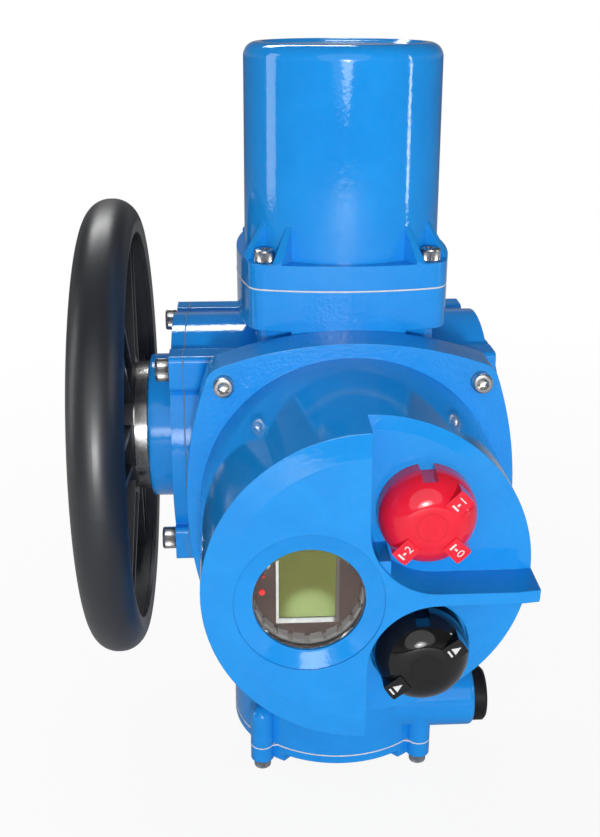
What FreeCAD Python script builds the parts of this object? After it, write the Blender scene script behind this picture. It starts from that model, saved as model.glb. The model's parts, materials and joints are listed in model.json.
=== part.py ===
import FreeCAD, Part
import math
import os
from FreeCAD import Vector as V

# Electric valve actuator, in millimetres.
# The origin is the centre of the valve mounting face. The output axis is X, and +X leaves
# the actuator towards the valve. The motor stands up along Z, and the control cover faces -Y.

os.makedirs("parts", exist_ok=True)

# General fits and gaps
seat_gap = 0.3
running_gap = 0.04
thread_gap = 0.1
fit_gap = 0.15

# Socket screws of the covers, size M8, and the larger ones of the hand drive, size M10
screw_shank = 4.0
screw_clearance = 0.5
screw_head = 6.5
screw_head_height = 8.0
screw_socket = 3.4
screw_bite = 12.0
large_shank = 5.0
large_head = 8.0
large_head_height = 10.0
large_socket = 4.6
large_bite = 14.0

# Main axes
base_reach = 118.0
worm_centre_distance = 45.0
terminal_setback = 15.0
terminal_shift = 1.5
motor_x = -base_reach
motor_y = -worm_centre_distance
terminal_x = motor_x + terminal_shift
terminal_y = motor_y + terminal_setback

# Gear case, a short drum along X with a lug at each corner
case_radius = 86.0
case_lug_place = 65.0
case_lug_half = 12.5
case_lug_corner = 4.0
case_left_reach = 110.0
case_right_reach = 107.0
case_left = motor_x - case_left_reach
case_right = motor_x + case_right_reach
case_bore = 60.0
case_end_wall = 27.0

# Motor flange of the case, and the motor cover on it
motor_seat_z = 132.0
motor_flange_bulge = 210.0
motor_flange_corner = 14.0
motor_lower_flange = 26.5
motor_neck_half = 59.0
motor_bridge_half = 37.3
motor_bridge_depth = 36.0
motor_pit_radius = 52.0
motor_pit_depth = 70.0
motor_seal_thick = 1.0
motor_cover_flange = 16.0
motor_cover_height = 150.0
motor_radius_bottom = 66.5
motor_taper = 1.0
motor_wall = 7.5
motor_flange_margin = 5.5
motor_screw_edge = 18.0
motor_shoulder = 9.0
motor_top_dish = 1.5
gusset_angle = 35.0
gusset_root_width = 3.4
gusset_foot_width = 7.0
gusset_top = 39.5
stator_depth = 26.0
stator_start = 18.0
stator_end_room = 34.0
rotor_gap = 0.6
motor_top_wall = 8.0
motor_radius_top = motor_radius_bottom - motor_taper
motor_flange_half = motor_radius_bottom + motor_flange_margin
motor_screw_place = motor_flange_half - motor_screw_edge
stator_radius = motor_radius_top - motor_wall
stator_bore = stator_radius - stator_depth
stator_length = motor_cover_height - motor_top_wall - stator_end_room - stator_start

# Worm drive
gear_module = 2.0
wheel_teeth = 32
backlash = 0.4
pressure_angle = 20.0
worm_length = 46.0
worm_wheel_width = 24.0
worm_shaft_radius = 8.0
worm_bore = 20.0
worm_bore_depth = 62.0
worm_bearing_width = 12.0

# Control housing and its cover, about an axis along Y
control_seam = 133.0
control_case_flange = 16.0
control_half = 107.0
control_bulge = 252.0
control_corner = 13.0
control_neck_inset = 9.0
control_neck_taper = 14.0
control_neck_length = 75.0
control_pit_radius = 84.0
control_pit_depth = 38.0
control_flange = 14.0
control_length = 125.0
control_radius_back = 97.8
control_radius_front = 95.3
control_rim_bevel = 14.0
control_rim_drop = 2.2
control_cavity = 87.0
control_screw_place = 81.5
control_face_thick = 8.0
control_seal_width = 3.0
control_seal_thick = 2.0
pocket_depth = 27.0
pocket_floor_thick = 14.0
pocket_wall_x = -1.8
pocket_corner = 40.0
pocket_rim = 8.0
pocket_rim_drop = 1.5
pocket_overrun = 10.0
ledge_top = -1.0
ledge_thick = 7.5
stop_block_x = 10.4
stop_block_z = 19.0
stop_block_drop = 3.0

# Window in the control cover
window_x = -34.8
window_z = -5.0
window_lip_radius = 31.8
window_lip_thick = 6.0
window_dish_radius = 42.4
window_dish_step = 0.8
window_dish_depth = 4.0
window_well_radius = 36.8
window_well_wall = 6.0
window_gap = 0.4
window_flange_thick = 9.1
window_ring_bore = 31.0
window_ring_thick = 7.0
window_ring_slots = 20
window_slot_width = 3.0
window_slot_depth = 1.4

# Display behind the window
display_plate_thick = 3.2
display_post_height = 7.0
display_post_radius = 2.5
display_board_thick = 1.6
lcd_width = 36.0
lcd_low = -22.1
lcd_high = 24.5
lcd_thick = 3.0
lcd_side_border = 1.5
lcd_low_border = 3.0
lcd_high_border = 0.8
lcd_gap = 0.05
lcd_sink = 0.5
led_x = -25.9
led_z = -2.9
led_radius = 1.8
led_height = 1.2
second_led_radius = 0.8
second_led_rise = 9.9

# Main board in the control housing, with the transformer and contactor it carries
board_width = 120.0
board_height = 96.0
board_thick = 1.6
board_start = 20.0
board_pillar = 4.0
board_pillar_edge = 8.0
transformer_width = 54.0
transformer_height = 46.0
transformer_depth = 30.0
transformer_x = -28.0
transformer_y = 18.0
contactor_width = 44.0
contactor_height = 60.0
contactor_depth = 26.0
contactor_x = 34.0

# Selector knobs, which turn on blind pins of the cover
knob_x = 32.2
red_knob_z = 39.2
black_knob_z = -50.5
knob_radius = 28.0
knob_height = 25.0
knob_skirt = 8.5
knob_dome_radius = 22.5
knob_dome_height = 19.5
knob_cap_radius = 9.0
knob_cap_thick = 3.0
knob_pin_radius = 5.0
knob_pin_height = 16.0
knob_tab_start = 14.0
knob_tab_reach = 26.5
knob_tab_width = 10.5
knob_notch_width = 8.6
knob_notch_depth = 4.0
knob_notch_angle = 92.0
red_tab_angles = (44.0, -45.0, -134.0)
black_tab_angles = (35.5, -143.5)
black_recess_depth = 8.0
black_recess_gap = 1.6

# Terminal compartment, about a vertical axis, and its cover below
terminal_seam_z = -229.5
terminal_radius = 81.0
terminal_housing_top = -60.0
terminal_pit_radius = 68.0
terminal_pit_depth = 82.0
terminal_seal_thick = 1.0
terminal_cover_thick = 6.0
terminal_hub_thick = 8.0
terminal_pad_thick = 12.0
terminal_pad_width = 34.0
terminal_spigot = 10.0
terminal_spigot_wall = 6.0
terminal_lug_place = 60.5
terminal_lug_radius = 8.9
terminal_lug_height = 24.0
terminal_block_radius = 60.0
terminal_block_thick = 18.0
terminal_stud_radius = 2.5
terminal_stud_height = 12.0
terminal_stud_circle = 48.0
terminal_stud_count = 12
terminal_power_circle = 24.0
terminal_power_radius = 4.0

# Cable entries
entry_z = -200.5
entry_y = -77.0
entry_boss = 23.4
entry_boss_edge = 4.0
entry_setback = 3.0
entry_bore = 18.0
plug_head_radius = 20.6
plug_head_thick = 9.8
plug_head_bevel = 2.0
plug_socket = 9.0
plug_socket_depth = 6.0
plug_shank_length = 14.0
rear_entry_spread = 30.0
rear_entry_y = 70.0

# Hand drive side
gear_gasket_thick = 0.5
gear_cover_thick = 9.5
gear_cover_boss = 54.5
gear_cover_boss_height = 18.5
gear_cover_spigot = 12.0
hand_bearing_radius = 47.0
hand_bearing_width = 14.0
hand_bearing_lip = 2.0
hand_tube_radius = 35.0
hand_tube_bore = 28.0
hand_tube_end = -155.0
sleeve_bush_length = 20.0
hand_collar_radius = 49.0
hand_collar_thick = 11.0
hand_spigot_radius = 20.0
hand_spigot_length = 18.0

# Handwheel
rim_radius = 171.0
rim_width = 37.0
rim_depth = 24.5
rim_lip = 3.0
rim_reach = 163.5
hub_radius = 48.0
hub_width = 24.0
spoke_count = 6
spoke_root_width = 34.0
spoke_tip_width = 26.0
spoke_tip_depth = 16.0
spoke_web = 7.0
spoke_wall = 5.0
hub_screw_circle = 36.0
hub_screw_count = 4
stem_cap_radius = 24.0
stem_cap_height = 6.0
stem_cap_plug = 14.0

# Output drive, and the mounting base to ISO 5210 size F10
sleeve_radius = 25.0
sleeve_bore = 16.5
sleeve_left = -186.0
sleeve_right = -2.0
sleeve_collar = 29.0
sleeve_collar_thick = 6.0
spline_count = 4
spline_width = 6.0
spline_height = 2.5
spline_gap = 0.2
bush_radius = 20.0
bush_length = 42.0
stem_bore = 12.5
key_width = 8.0
key_depth = 3.3
base_radius = 62.5
base_register = 44.0
base_register_length = 18.0
base_circle = 51.0
base_hole = 5.0
base_hole_relief = 9.0
spigot_radius = 35.0
spigot_height = 3.0
base_seal_radius = 31.0
base_seal_width = 8.0
output_bearing_radius = 40.0
output_bearing_width = 16.0
dog_count = 4
dog_angle = 38.0
dog_height = 5.0
clutch_radius = 33.0
clutch_length = 14.0

# Places that follow from the sizes above
control_face = control_flange + control_length
pocket_floor = control_face - pocket_depth
window_lip_front = control_face - window_dish_depth
window_lip_back = window_lip_front - window_lip_thick
glass_flange_back = window_lip_back - window_gap - window_flange_thick
window_ring_back = glass_flange_back - window_ring_thick
display_plate_back = window_ring_back - display_plate_thick
display_board_back = display_plate_back - display_post_height - display_board_thick
ledge_bottom = ledge_top - ledge_thick
base_thick = -case_right
entry_end = case_right - entry_setback
wheel_pitch_radius = gear_module * wheel_teeth / 2
worm_pitch_radius = worm_centre_distance - wheel_pitch_radius
worm_pitch = math.pi * gear_module
hand_collar_face = gear_cover_thick + gear_gasket_thick + gear_cover_boss_height
hub_face = hand_collar_face + hand_collar_thick
rim_middle = rim_reach - case_left_reach
clutch_right = motor_x - worm_wheel_width / 2


def frame(origin, x_axis, y_axis, z_axis):
    return FreeCAD.Placement(origin, FreeCAD.Rotation(x_axis, y_axis, z_axis, "ZXY"))


X, Y, Z = V(1, 0, 0), V(0, 1, 0), V(0, 0, 1)
motor_frame = frame(V(motor_x, motor_y, motor_seat_z), X, Y, Z)
worm_frame = frame(V(motor_x, motor_y, 0), X, Y, Z)
control_frame = frame(V(motor_x, -control_seam, 0), X, Z, -Y)
terminal_frame = frame(V(terminal_x, terminal_y, terminal_seam_z), X, -Y, -Z)
hand_frame = frame(V(case_left, 0, 0), -Y, Z, -X)
output_frame = frame(V(0, 0, 0), Y, Z, X)


def placed(shape, place):
    """The shape, drawn about Z at the origin, carried to its own axis on the actuator."""
    moved = shape.copy()
    moved.Placement = place.multiply(moved.Placement)
    return moved


def cylinder(radius, height, z=0.0, x=0.0, y=0.0):
    return Part.makeCylinder(radius, height, V(x, y, z))


def tube(outer, inner, height, z=0.0, x=0.0, y=0.0):
    return cylinder(outer, height, z, x, y).cut(cylinder(inner, height, z, x, y))


def block(width, depth, height, x=0.0, y=0.0, z=0.0):
    """A box centred on x and y, standing on z."""
    return Part.makeBox(width, depth, height, V(x - width / 2, y - depth / 2, z))


def face_of(steps):
    """A closed outline of (radius, height) steps; four numbers give an arc by middle and end."""
    edges = []
    here = V(steps[0][0], 0, steps[0][1])
    for step in steps[1:] + steps[:1]:
        end = V(step[-2], 0, step[-1])
        if len(step) == 4:
            edges.append(Part.Arc(here, V(step[0], 0, step[1]), end).toShape())
        else:
            edges.append(Part.makeLine(here, end))
        here = end
    return Part.Face(Part.Wire(edges))


def revolved(steps):
    return face_of(steps).revolve(V(0, 0, 0), V(0, 0, 1), 360)


def prism(points, height, z=0.0):
    """An upright prism on a closed plan of (x, y) points."""
    corners_3d = [V(x, y, z) for x, y in points + points[:1]]
    return Part.Face(Part.makePolygon(corners_3d)).extrude(V(0, 0, height))


def upright_edges(solid):
    found = []
    for edge in solid.Edges:
        first, last = edge.Vertexes[0].Point, edge.Vertexes[-1].Point
        if abs(first.x - last.x) < 1e-6 and abs(first.y - last.y) < 1e-6 and first != last:
            found.append(edge)
    return found


def rounded_square(half, corner, height, z=0.0):
    plate = block(2 * half, 2 * half, height, z=z)
    return plate.makeFillet(corner, upright_edges(plate))


def bulged_square(half, bulge, corner, height, z=0.0):
    """A square plate with rounded corners, whose four sides are arcs of the radius bulge."""
    centre = half - bulge
    sharp = (centre + math.sqrt(2 * bulge ** 2 - centre ** 2)) / 2
    points = [V(sharp, -sharp, z), V(sharp, sharp, z), V(-sharp, sharp, z), V(-sharp, -sharp, z)]
    middles = [V(half, 0, z), V(0, half, z), V(-half, 0, z), V(0, -half, z)]
    sides = [Part.Arc(points[i], middles[i], points[(i + 1) % 4]).toShape() for i in range(4)]
    plate = Part.Face(Part.Wire(sides)).extrude(V(0, 0, height))
    return plate.makeFillet(corner, upright_edges(plate))


def lowest_face(solid):
    return min(solid.Faces, key=lambda face: face.CenterOfMass.z)


def four_corners(place):
    return [(sx * place, sy * place) for sx in (1, -1) for sy in (1, -1)]


def around(count, radius, first=0.0):
    angles = [math.radians(first + i * 360.0 / count) for i in range(count)]
    return [(radius * math.cos(a), radius * math.sin(a)) for a in angles]


def holes(places, radius, depth, top):
    """Round holes that go down from the height top."""
    return Part.makeCompound([cylinder(radius, depth, top - depth, x, y) for x, y in places])


def sector(outer, inner, angle, height, middle, z=0.0):
    """A dog or claw: part of a ring, as wide as angle, about the direction middle."""
    half = math.radians(angle / 2)
    turn = math.radians(middle)
    corners_2d = []
    for radius, sides in ((outer, (-1, 0, 1)), (inner, (1, 0, -1))):
        for side in sides:
            a = turn + side * half
            corners_2d.append(V(radius * math.cos(a), radius * math.sin(a), z))
    edges = [Part.Arc(*corners_2d[0:3]).toShape(), Part.makeLine(corners_2d[2], corners_2d[3]),
             Part.Arc(*corners_2d[3:6]).toShape(), Part.makeLine(corners_2d[5], corners_2d[0])]
    return Part.Face(Part.Wire(edges)).extrude(V(0, 0, height))


def dogs(outer, inner, angle, height, first, z=0.0):
    step = 360.0 / dog_count
    return [sector(outer, inner, angle, height, first + i * step, z) for i in range(dog_count)]


def copies(shape, places, z=0.0):
    moved = []
    for x, y in places:
        copy = shape.copy()
        copy.translate(V(x, y, z))
        moved.append(copy)
    return moved


def socket_screw(shank, head, head_height, socket, length):
    """A hexagon socket screw: its head stands on z = 0 and its shank goes down."""
    hexagon = prism(around(6, socket), head_height, head_height * 0.45)
    return cylinder(head, head_height).fuse(cylinder(shank, length, -length)).cut(hexagon)


def cover_screw(length):
    return socket_screw(screw_shank, screw_head, screw_head_height, screw_socket, length)


def large_screw(length):
    return socket_screw(large_shank, large_head, large_head_height, large_socket, length)


def screw_set(screw, places, z):
    return Part.makeCompound(copies(screw, places, z))


def tapped(places, top=0.0, shank=screw_shank, bite=screw_bite):
    return holes(places, shank + thread_gap, bite + 2, top)


def clearance(places, depth, top, shank=screw_shank):
    return holes(places, shank + screw_clearance, depth, top)


def write(name, shape):
    if not shape.isValid():
        raise ValueError(name + " is not a valid solid")
    shape.exportStep("parts/" + name + ".step")
    print(name, len(shape.Solids), "solid(s), volume", round(shape.Volume / 1000, 2), "cm3")


# Gear case

def case_section(height, z=0.0):
    """The drum with its four corner lugs."""
    lug = rounded_square(case_lug_half, case_lug_corner, height, z)
    return cylinder(case_radius, height, z).multiFuse(copies(lug, four_corners(case_lug_place)))


def control_neck():
    back_half = control_half - control_neck_inset - control_neck_taper
    start = bulged_square(control_half - control_neck_inset, control_bulge, control_corner, 1.0,
                          -control_case_flange)
    end = bulged_square(back_half, control_bulge, control_corner, 1.0, -control_neck_length)
    return Part.makeLoft([lowest_face(start).OuterWire, lowest_face(end).OuterWire], True, True)


def terminal_lug():
    round_end = Part.makeSphere(terminal_lug_radius, V(0, 0, -terminal_lug_height))
    return cylinder(terminal_lug_radius, terminal_lug_height, -terminal_lug_height).fuse(round_end)


def entry_bosses():
    """Round bosses for one cable entry on the right and two at the back."""
    right = Part.makeCylinder(entry_boss, entry_end - motor_x, V(motor_x, entry_y, entry_z), X)
    rim = [edge for edge in right.Edges if edge.BoundBox.XMin > entry_end - 0.01]
    right = right.makeFillet(entry_boss_edge, rim)
    rear = [Part.makeCylinder(entry_boss, rear_entry_y - terminal_y,
                              V(terminal_x + side * rear_entry_spread, terminal_y, entry_z), Y)
            for side in (1, -1)]
    return [right] + rear


def entry_bores():
    right = Part.makeCylinder(entry_bore, entry_end - motor_x, V(motor_x, entry_y, entry_z), X)
    rear = [Part.makeCylinder(entry_bore, rear_entry_y - terminal_y,
                              V(terminal_x + side * rear_entry_spread, terminal_y, entry_z), Y)
            for side in (1, -1)]
    return [right] + rear


def motor_flange(height, z):
    return bulged_square(motor_flange_half, motor_flange_bulge, motor_flange_corner, height, z)


def motor_neck():
    """The flange under the motor, its narrower neck, and the bridge flush with its front."""
    neck = rounded_square(motor_neck_half, motor_flange_corner, motor_seat_z, -motor_seat_z)
    bridge = block(2 * motor_bridge_half, motor_bridge_depth, motor_seat_z,
                   y=motor_bridge_depth / 2 - motor_flange_half, z=-motor_seat_z)
    bridge = bridge.common(motor_flange(motor_seat_z, -motor_seat_z))
    return motor_flange(motor_lower_flange, -motor_lower_flange).multiFuse([neck, bridge])


def gear_case():
    drum = placed(case_section(case_right - case_left, case_left), output_frame)
    front = placed(bulged_square(control_half, control_bulge, control_corner, control_case_flange,
                                 -control_case_flange), control_frame)
    housing_height = terminal_housing_top - terminal_seam_z
    housing = placed(cylinder(terminal_radius, housing_height, -housing_height), terminal_frame)
    lug_places = four_corners(terminal_lug_place)
    lugs = [placed(lug, terminal_frame) for lug in copies(terminal_lug(), lug_places)]
    body = drum.multiFuse([placed(motor_neck(), motor_frame), front,
                           placed(control_neck(), control_frame), housing]
                          + lugs + entry_bosses())

    gear_bore = placed(cylinder(case_bore, case_right - case_left - case_end_wall, case_left),
                       output_frame)
    register = placed(cylinder(base_register + fit_gap, case_end_wall, case_right - case_end_wall),
                      output_frame)
    motor_pit = placed(cylinder(motor_pit_radius, motor_pit_depth, -motor_pit_depth), motor_frame)
    worm_pit = placed(cylinder(worm_bore, worm_bore_depth + motor_seat_z - motor_pit_depth,
                               -worm_bore_depth), worm_frame)
    control_pit = placed(cylinder(control_pit_radius, control_pit_depth, -control_pit_depth),
                         control_frame)
    terminal_pit = placed(cylinder(terminal_pit_radius, terminal_pit_depth, -terminal_pit_depth),
                          terminal_frame)
    screw_holes = [
        placed(tapped(four_corners(motor_screw_place)), motor_frame),
        placed(tapped(four_corners(control_screw_place)), control_frame),
        placed(tapped(lug_places), terminal_frame),
        placed(tapped(four_corners(case_lug_place), 0.0, large_shank, large_bite), hand_frame),
        placed(tapped(around(4, base_circle), case_right), output_frame),
        placed(holes(around(4, base_circle, 45), base_hole, base_hole_relief, case_right),
               output_frame),
    ]
    return body.cut([gear_bore, register, motor_pit, worm_pit, control_pit, terminal_pit]
                    + entry_bores() + screw_holes)


# Motor

def gusset():
    """A radial wedge from the flange edge up the round cover, narrower towards its top."""
    root = motor_radius_bottom - 5.0
    foot = motor_flange_half * 1.2
    base = motor_cover_flange - 1.0
    top = motor_cover_flange + motor_seal_thick + 0.5
    plan = prism([(root, -gusset_root_width / 2), (foot, -gusset_foot_width / 2),
                  (foot, gusset_foot_width / 2), (root, gusset_root_width / 2)],
                 gusset_top - base, base)
    profile = Part.Face(Part.makePolygon([
        V(root, 0, base), V(foot, 0, base), V(motor_flange_half * 1.13, 0, top),
        V(motor_radius_bottom - 0.5, 0, gusset_top), V(root, 0, gusset_top), V(root, 0, base)]))
    profile.translate(V(0, -gusset_foot_width, 0))
    return plan.common(profile.extrude(V(0, 2 * gusset_foot_width, 0)))


def gussets():
    within = motor_flange(gusset_top + 1, 0)
    return [gusset().rotated(V(0, 0, 0), Z, 90 * quarter + side * gusset_angle).common(within)
            for quarter in range(4) for side in (1, -1)]


def motor_cover():
    low = motor_seal_thick
    top = motor_cover_height
    shoulder_middle = motor_shoulder * (1 - math.sqrt(0.5))
    drum = revolved([
        (0, low), (motor_radius_bottom, low), (motor_radius_top, top - motor_shoulder),
        (motor_radius_top - shoulder_middle, top - shoulder_middle,
         motor_radius_top - motor_shoulder, top),
        (motor_radius_top - motor_shoulder - 2, top),
        (motor_radius_top - motor_shoulder - 4, top - motor_top_dish), (0, top - motor_top_dish)])
    flange = motor_flange(motor_cover_flange, low)
    places = four_corners(motor_screw_place)
    cavity = revolved([
        (0, low), (stator_radius + running_gap, low),
        (stator_radius + running_gap, top - motor_top_wall - 14),
        (stator_radius - 12, top - motor_top_wall), (worm_bore + 6, top - motor_top_wall),
        (worm_bore + 6, top - motor_top_wall - worm_bearing_width - 4),
        (worm_bore + running_gap, top - motor_top_wall - worm_bearing_width - 4),
        (worm_bore + running_gap, top - motor_top_wall - 2), (0, top - motor_top_wall - 2)])
    solid = drum.multiFuse([flange] + gussets())
    return placed(solid.cut([cavity, clearance(places, motor_cover_flange + 1,
                                               motor_cover_flange + low + 1)]), motor_frame)


def motor_seal():
    plate = motor_flange(motor_seal_thick, 0)
    return placed(plate.cut([cylinder(stator_radius, motor_seal_thick),
                             clearance(four_corners(motor_screw_place), motor_seal_thick,
                                       motor_seal_thick)]), motor_frame)


def motor_cover_screws():
    grip = motor_seal_thick + motor_cover_flange
    return placed(screw_set(cover_screw(grip + screw_bite), four_corners(motor_screw_place), grip),
                  motor_frame)


def stator():
    """The laminated core with a winding overhang at each end."""
    core = tube(stator_radius, stator_bore, stator_length, stator_start)
    lower = tube(stator_radius - 6, stator_bore + 3, 10, stator_start - 10)
    upper = tube(stator_radius - 6, stator_bore + 3, 10, stator_start + stator_length)
    return placed(core.multiFuse([lower, upper]), motor_frame)


def rotor_core():
    core = tube(stator_bore - rotor_gap, worm_shaft_radius + running_gap, stator_length,
                stator_start)
    return placed(core, motor_frame)


def worm_thread():
    """One right-hand thread of rack section, swept along its helix and cut to length."""
    slope = math.tan(math.radians(pressure_angle))
    middle_half = (worm_pitch / 2 - backlash) / 2
    tip = worm_pitch_radius + gear_module
    root = worm_pitch_radius - 1.25 * gear_module
    root_half = middle_half + slope * (worm_pitch_radius - root)
    tip_half = middle_half - slope * gear_module
    turns = math.ceil(worm_length / worm_pitch) + 1
    start = -(turns // 2) * worm_pitch + worm_pitch / 4
    helix = Part.makeHelix(worm_pitch, turns * worm_pitch, worm_pitch_radius)
    section = Part.makePolygon([V(root - 0.5, 0, -root_half), V(tip, 0, -tip_half),
                                V(tip, 0, tip_half), V(root - 0.5, 0, root_half),
                                V(root - 0.5, 0, -root_half)])
    thread = Part.Wire(helix).makePipeShell([section], True, True)
    thread.translate(V(0, 0, start))
    return thread.common(cylinder(tip + 1, worm_length, -worm_length / 2))


def worm_shaft():
    top = motor_seat_z + motor_cover_height - motor_top_wall - 4
    shaft = cylinder(worm_shaft_radius, top + worm_bore_depth - 2, -worm_bore_depth + 2)
    root = worm_pitch_radius - 1.25 * gear_module
    core = cylinder(root, worm_length + 20, -worm_length / 2 - 10)
    return placed(shaft.multiFuse([core, worm_thread()]), worm_frame)


def motor_bearings():
    top = motor_seat_z + motor_cover_height - motor_top_wall - 2 - worm_bearing_width
    inner = worm_shaft_radius + running_gap
    return placed(Part.makeCompound([
        tube(worm_bore, inner, worm_bearing_width, top),
        tube(worm_bore, inner, worm_bearing_width, worm_bore_depth - worm_bearing_width - 2),
        tube(worm_bore, inner, worm_bearing_width, -worm_bore_depth)]), worm_frame)


# Output drive

def worm_wheel():
    """Helical teeth, lofted between two turned outlines, with dogs on the left side."""
    slope = math.tan(math.radians(pressure_angle))
    root = wheel_pitch_radius - 1.25 * gear_module
    tip = wheel_pitch_radius + gear_module
    middle_half = (worm_pitch / 2 - backlash) / 2
    root_angle = (middle_half + slope * (wheel_pitch_radius - root)) / root
    tip_angle = (middle_half - slope * gear_module) / tip
    lead = worm_pitch / (2 * math.pi * worm_pitch_radius)
    twist = math.degrees(lead * worm_wheel_width / 2 / wheel_pitch_radius)
    outlines = []
    for side in (-1, 1):
        points = []
        for tooth in range(wheel_teeth):
            middle = math.pi + 2 * math.pi * tooth / wheel_teeth + math.radians(side * twist)
            for radius, angle in ((root, -root_angle), (tip, -tip_angle), (tip, tip_angle),
                                  (root, root_angle)):
                points.append(V(radius * math.cos(middle + angle),
                                radius * math.sin(middle + angle), side * worm_wheel_width / 2))
        outlines.append(Part.makePolygon(points + points[:1]))
    teeth = Part.makeLoft(outlines, True, True)
    teeth.translate(V(0, 0, motor_x))
    claws = dogs(clutch_radius - 2, sleeve_radius + 2, dog_angle, dog_height + 0.5, 45,
                 clutch_right - dog_height)
    bore = cylinder(sleeve_radius + running_gap, worm_wheel_width, clutch_right)
    return placed(teeth.cut(bore).multiFuse(claws), output_frame)


def splines(width, height, low, high):
    return [block(height + 2, width, high - low, x=sleeve_radius + height / 2 - 1, z=low)
            .rotated(V(0, 0, 0), Z, i * 360.0 / spline_count) for i in range(spline_count)]


def output_sleeve():
    """The hollow output shaft, with a collar beside the wheel and splines under the clutch."""
    body = cylinder(sleeve_radius, sleeve_right - sleeve_left, sleeve_left)
    collar = cylinder(sleeve_collar, sleeve_collar_thick, motor_x + worm_wheel_width / 2)
    keys = splines(spline_width, spline_height, clutch_right - dog_height - clutch_length,
                   clutch_right - dog_height)
    stem = cylinder(sleeve_bore, sleeve_right - sleeve_left, sleeve_left)
    socket = cylinder(bush_radius + running_gap, bush_length, sleeve_right - bush_length)
    return placed(body.multiFuse([collar] + keys).cut([stem, socket]), output_frame)


def drive_bush():
    """The bush that the valve stem enters, with its keyway."""
    body = tube(bush_radius, stem_bore, bush_length, sleeve_right - bush_length)
    keyway = block(stem_bore + key_depth, key_width, bush_length,
                   x=(stem_bore + key_depth) / 2, z=sleeve_right - bush_length)
    return placed(body.cut(keyway), output_frame)


def clutch_ring():
    """Slides on the splines and locks the worm wheel to the sleeve by its dogs."""
    low = clutch_right - dog_height - clutch_length
    body = tube(clutch_radius, sleeve_radius + running_gap, clutch_length, low)
    claws = dogs(clutch_radius - 2, sleeve_radius + 3.2, dog_angle, dog_height, 0,
                 clutch_right - dog_height - 0.5)
    slots = splines(spline_width + 2 * spline_gap, spline_height + spline_gap, low,
                    clutch_right - dog_height)
    groove = tube(clutch_radius + 1, clutch_radius - 3, 6.0, low + 4)
    shifted = body.cut(slots + [groove]).multiFuse(claws)
    shifted.translate(V(0, 0, -0.3))
    return placed(shifted, output_frame)


def output_bearing():
    return placed(tube(output_bearing_radius, sleeve_radius + running_gap, output_bearing_width,
                       case_right - 1 - output_bearing_width), output_frame)


def output_seal():
    return placed(tube(base_seal_radius, sleeve_radius + running_gap, base_seal_width,
                       -base_seal_width - 2), output_frame)


def thrust_base():
    """The valve mounting flange with its spigot, and the register that holds the bearing."""
    flange = cylinder(base_radius, base_thick, case_right)
    spigot = cylinder(spigot_radius, spigot_height, 0)
    register = cylinder(base_register, base_register_length, case_right - base_register_length)
    seat = cylinder(output_bearing_radius + running_gap, base_register_length,
                    case_right - 1 - base_register_length)
    bore = cylinder(base_seal_radius + running_gap, base_thick + spigot_height + 2, case_right - 2)
    screw_places = around(4, base_circle)
    sinks = holes(screw_places, screw_head + screw_clearance, screw_head_height + seat_gap, 0)
    passages = clearance(screw_places, base_thick, 0)
    studs = holes(around(4, base_circle, 45), base_hole, base_thick, 0)
    return placed(flange.multiFuse([spigot, register]).cut([seat, bore, sinks, passages, studs]),
                  output_frame)


def base_screws():
    seat = -screw_head_height - seat_gap
    length = base_thick + seat + screw_bite
    return placed(screw_set(cover_screw(length), around(4, base_circle), seat), output_frame)


# Hand drive

def gear_cover_gasket():
    plate = case_section(gear_gasket_thick)
    return placed(plate.cut([cylinder(case_bore, gear_gasket_thick),
                             clearance(four_corners(case_lug_place), gear_gasket_thick,
                                       gear_gasket_thick, large_shank)]), hand_frame)


def gear_cover():
    plate = case_section(gear_cover_thick, gear_gasket_thick)
    boss = cylinder(gear_cover_boss, gear_cover_boss_height, gear_cover_thick + gear_gasket_thick)
    boss = boss.makeFillet(2.0, [edge for edge in boss.Edges
                                 if edge.BoundBox.ZMin > hand_collar_face - 0.01])
    spigot = cylinder(case_bore - fit_gap, gear_cover_spigot + gear_gasket_thick,
                      -gear_cover_spigot)
    bearing_start = hand_collar_face - hand_bearing_lip - hand_bearing_width
    seat = cylinder(hand_bearing_radius + running_gap, hand_bearing_width, bearing_start)
    passage = cylinder(hand_bearing_radius - 6, gear_cover_spigot + hand_collar_face + 1,
                       -gear_cover_spigot)
    relief = cylinder(case_bore - 9, gear_cover_spigot, -gear_cover_spigot)
    screws = clearance(four_corners(case_lug_place), gear_cover_thick + gear_gasket_thick,
                       gear_cover_thick + gear_gasket_thick, large_shank)
    return placed(plate.multiFuse([boss, spigot]).cut([seat, passage, relief, screws]), hand_frame)


def gear_cover_screws():
    grip = gear_gasket_thick + gear_cover_thick
    return placed(screw_set(large_screw(grip + large_bite), four_corners(case_lug_place), grip),
                  hand_frame)


def hand_bearing():
    start = hand_collar_face - hand_bearing_lip - hand_bearing_width
    return placed(tube(hand_bearing_radius, hand_tube_radius + running_gap, hand_bearing_width,
                       start), hand_frame)


def hand_shaft():
    """The steel collar under the handwheel, with the tube that reaches in to the clutch."""
    tube_end = case_left - hand_tube_end
    collar = cylinder(hand_collar_radius, hand_collar_thick - seat_gap,
                      hand_collar_face + seat_gap)
    collar = collar.makeChamfer(1.0, collar.Edges[:1] + collar.Edges[-1:])
    outer = cylinder(hand_tube_radius, hand_collar_face + hand_collar_thick - tube_end, tube_end)
    spigot = cylinder(hand_spigot_radius, hand_spigot_length, hub_face)
    bush_seat = cylinder(hand_tube_bore, hand_tube_end - sleeve_left + seat_gap, tube_end)
    stem = cylinder(sleeve_bore, hub_face + hand_spigot_length - tube_end, tube_end)
    notches = dogs(hand_tube_radius + 1, hand_tube_bore - 1, dog_angle + 8, dog_height, 0, tube_end)
    screws = holes(around(hub_screw_count, hub_screw_circle), large_shank + thread_gap,
                   hand_collar_thick, hub_face)
    return placed(collar.multiFuse([outer, spigot]).cut([bush_seat, stem, screws] + notches),
                  hand_frame)


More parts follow.
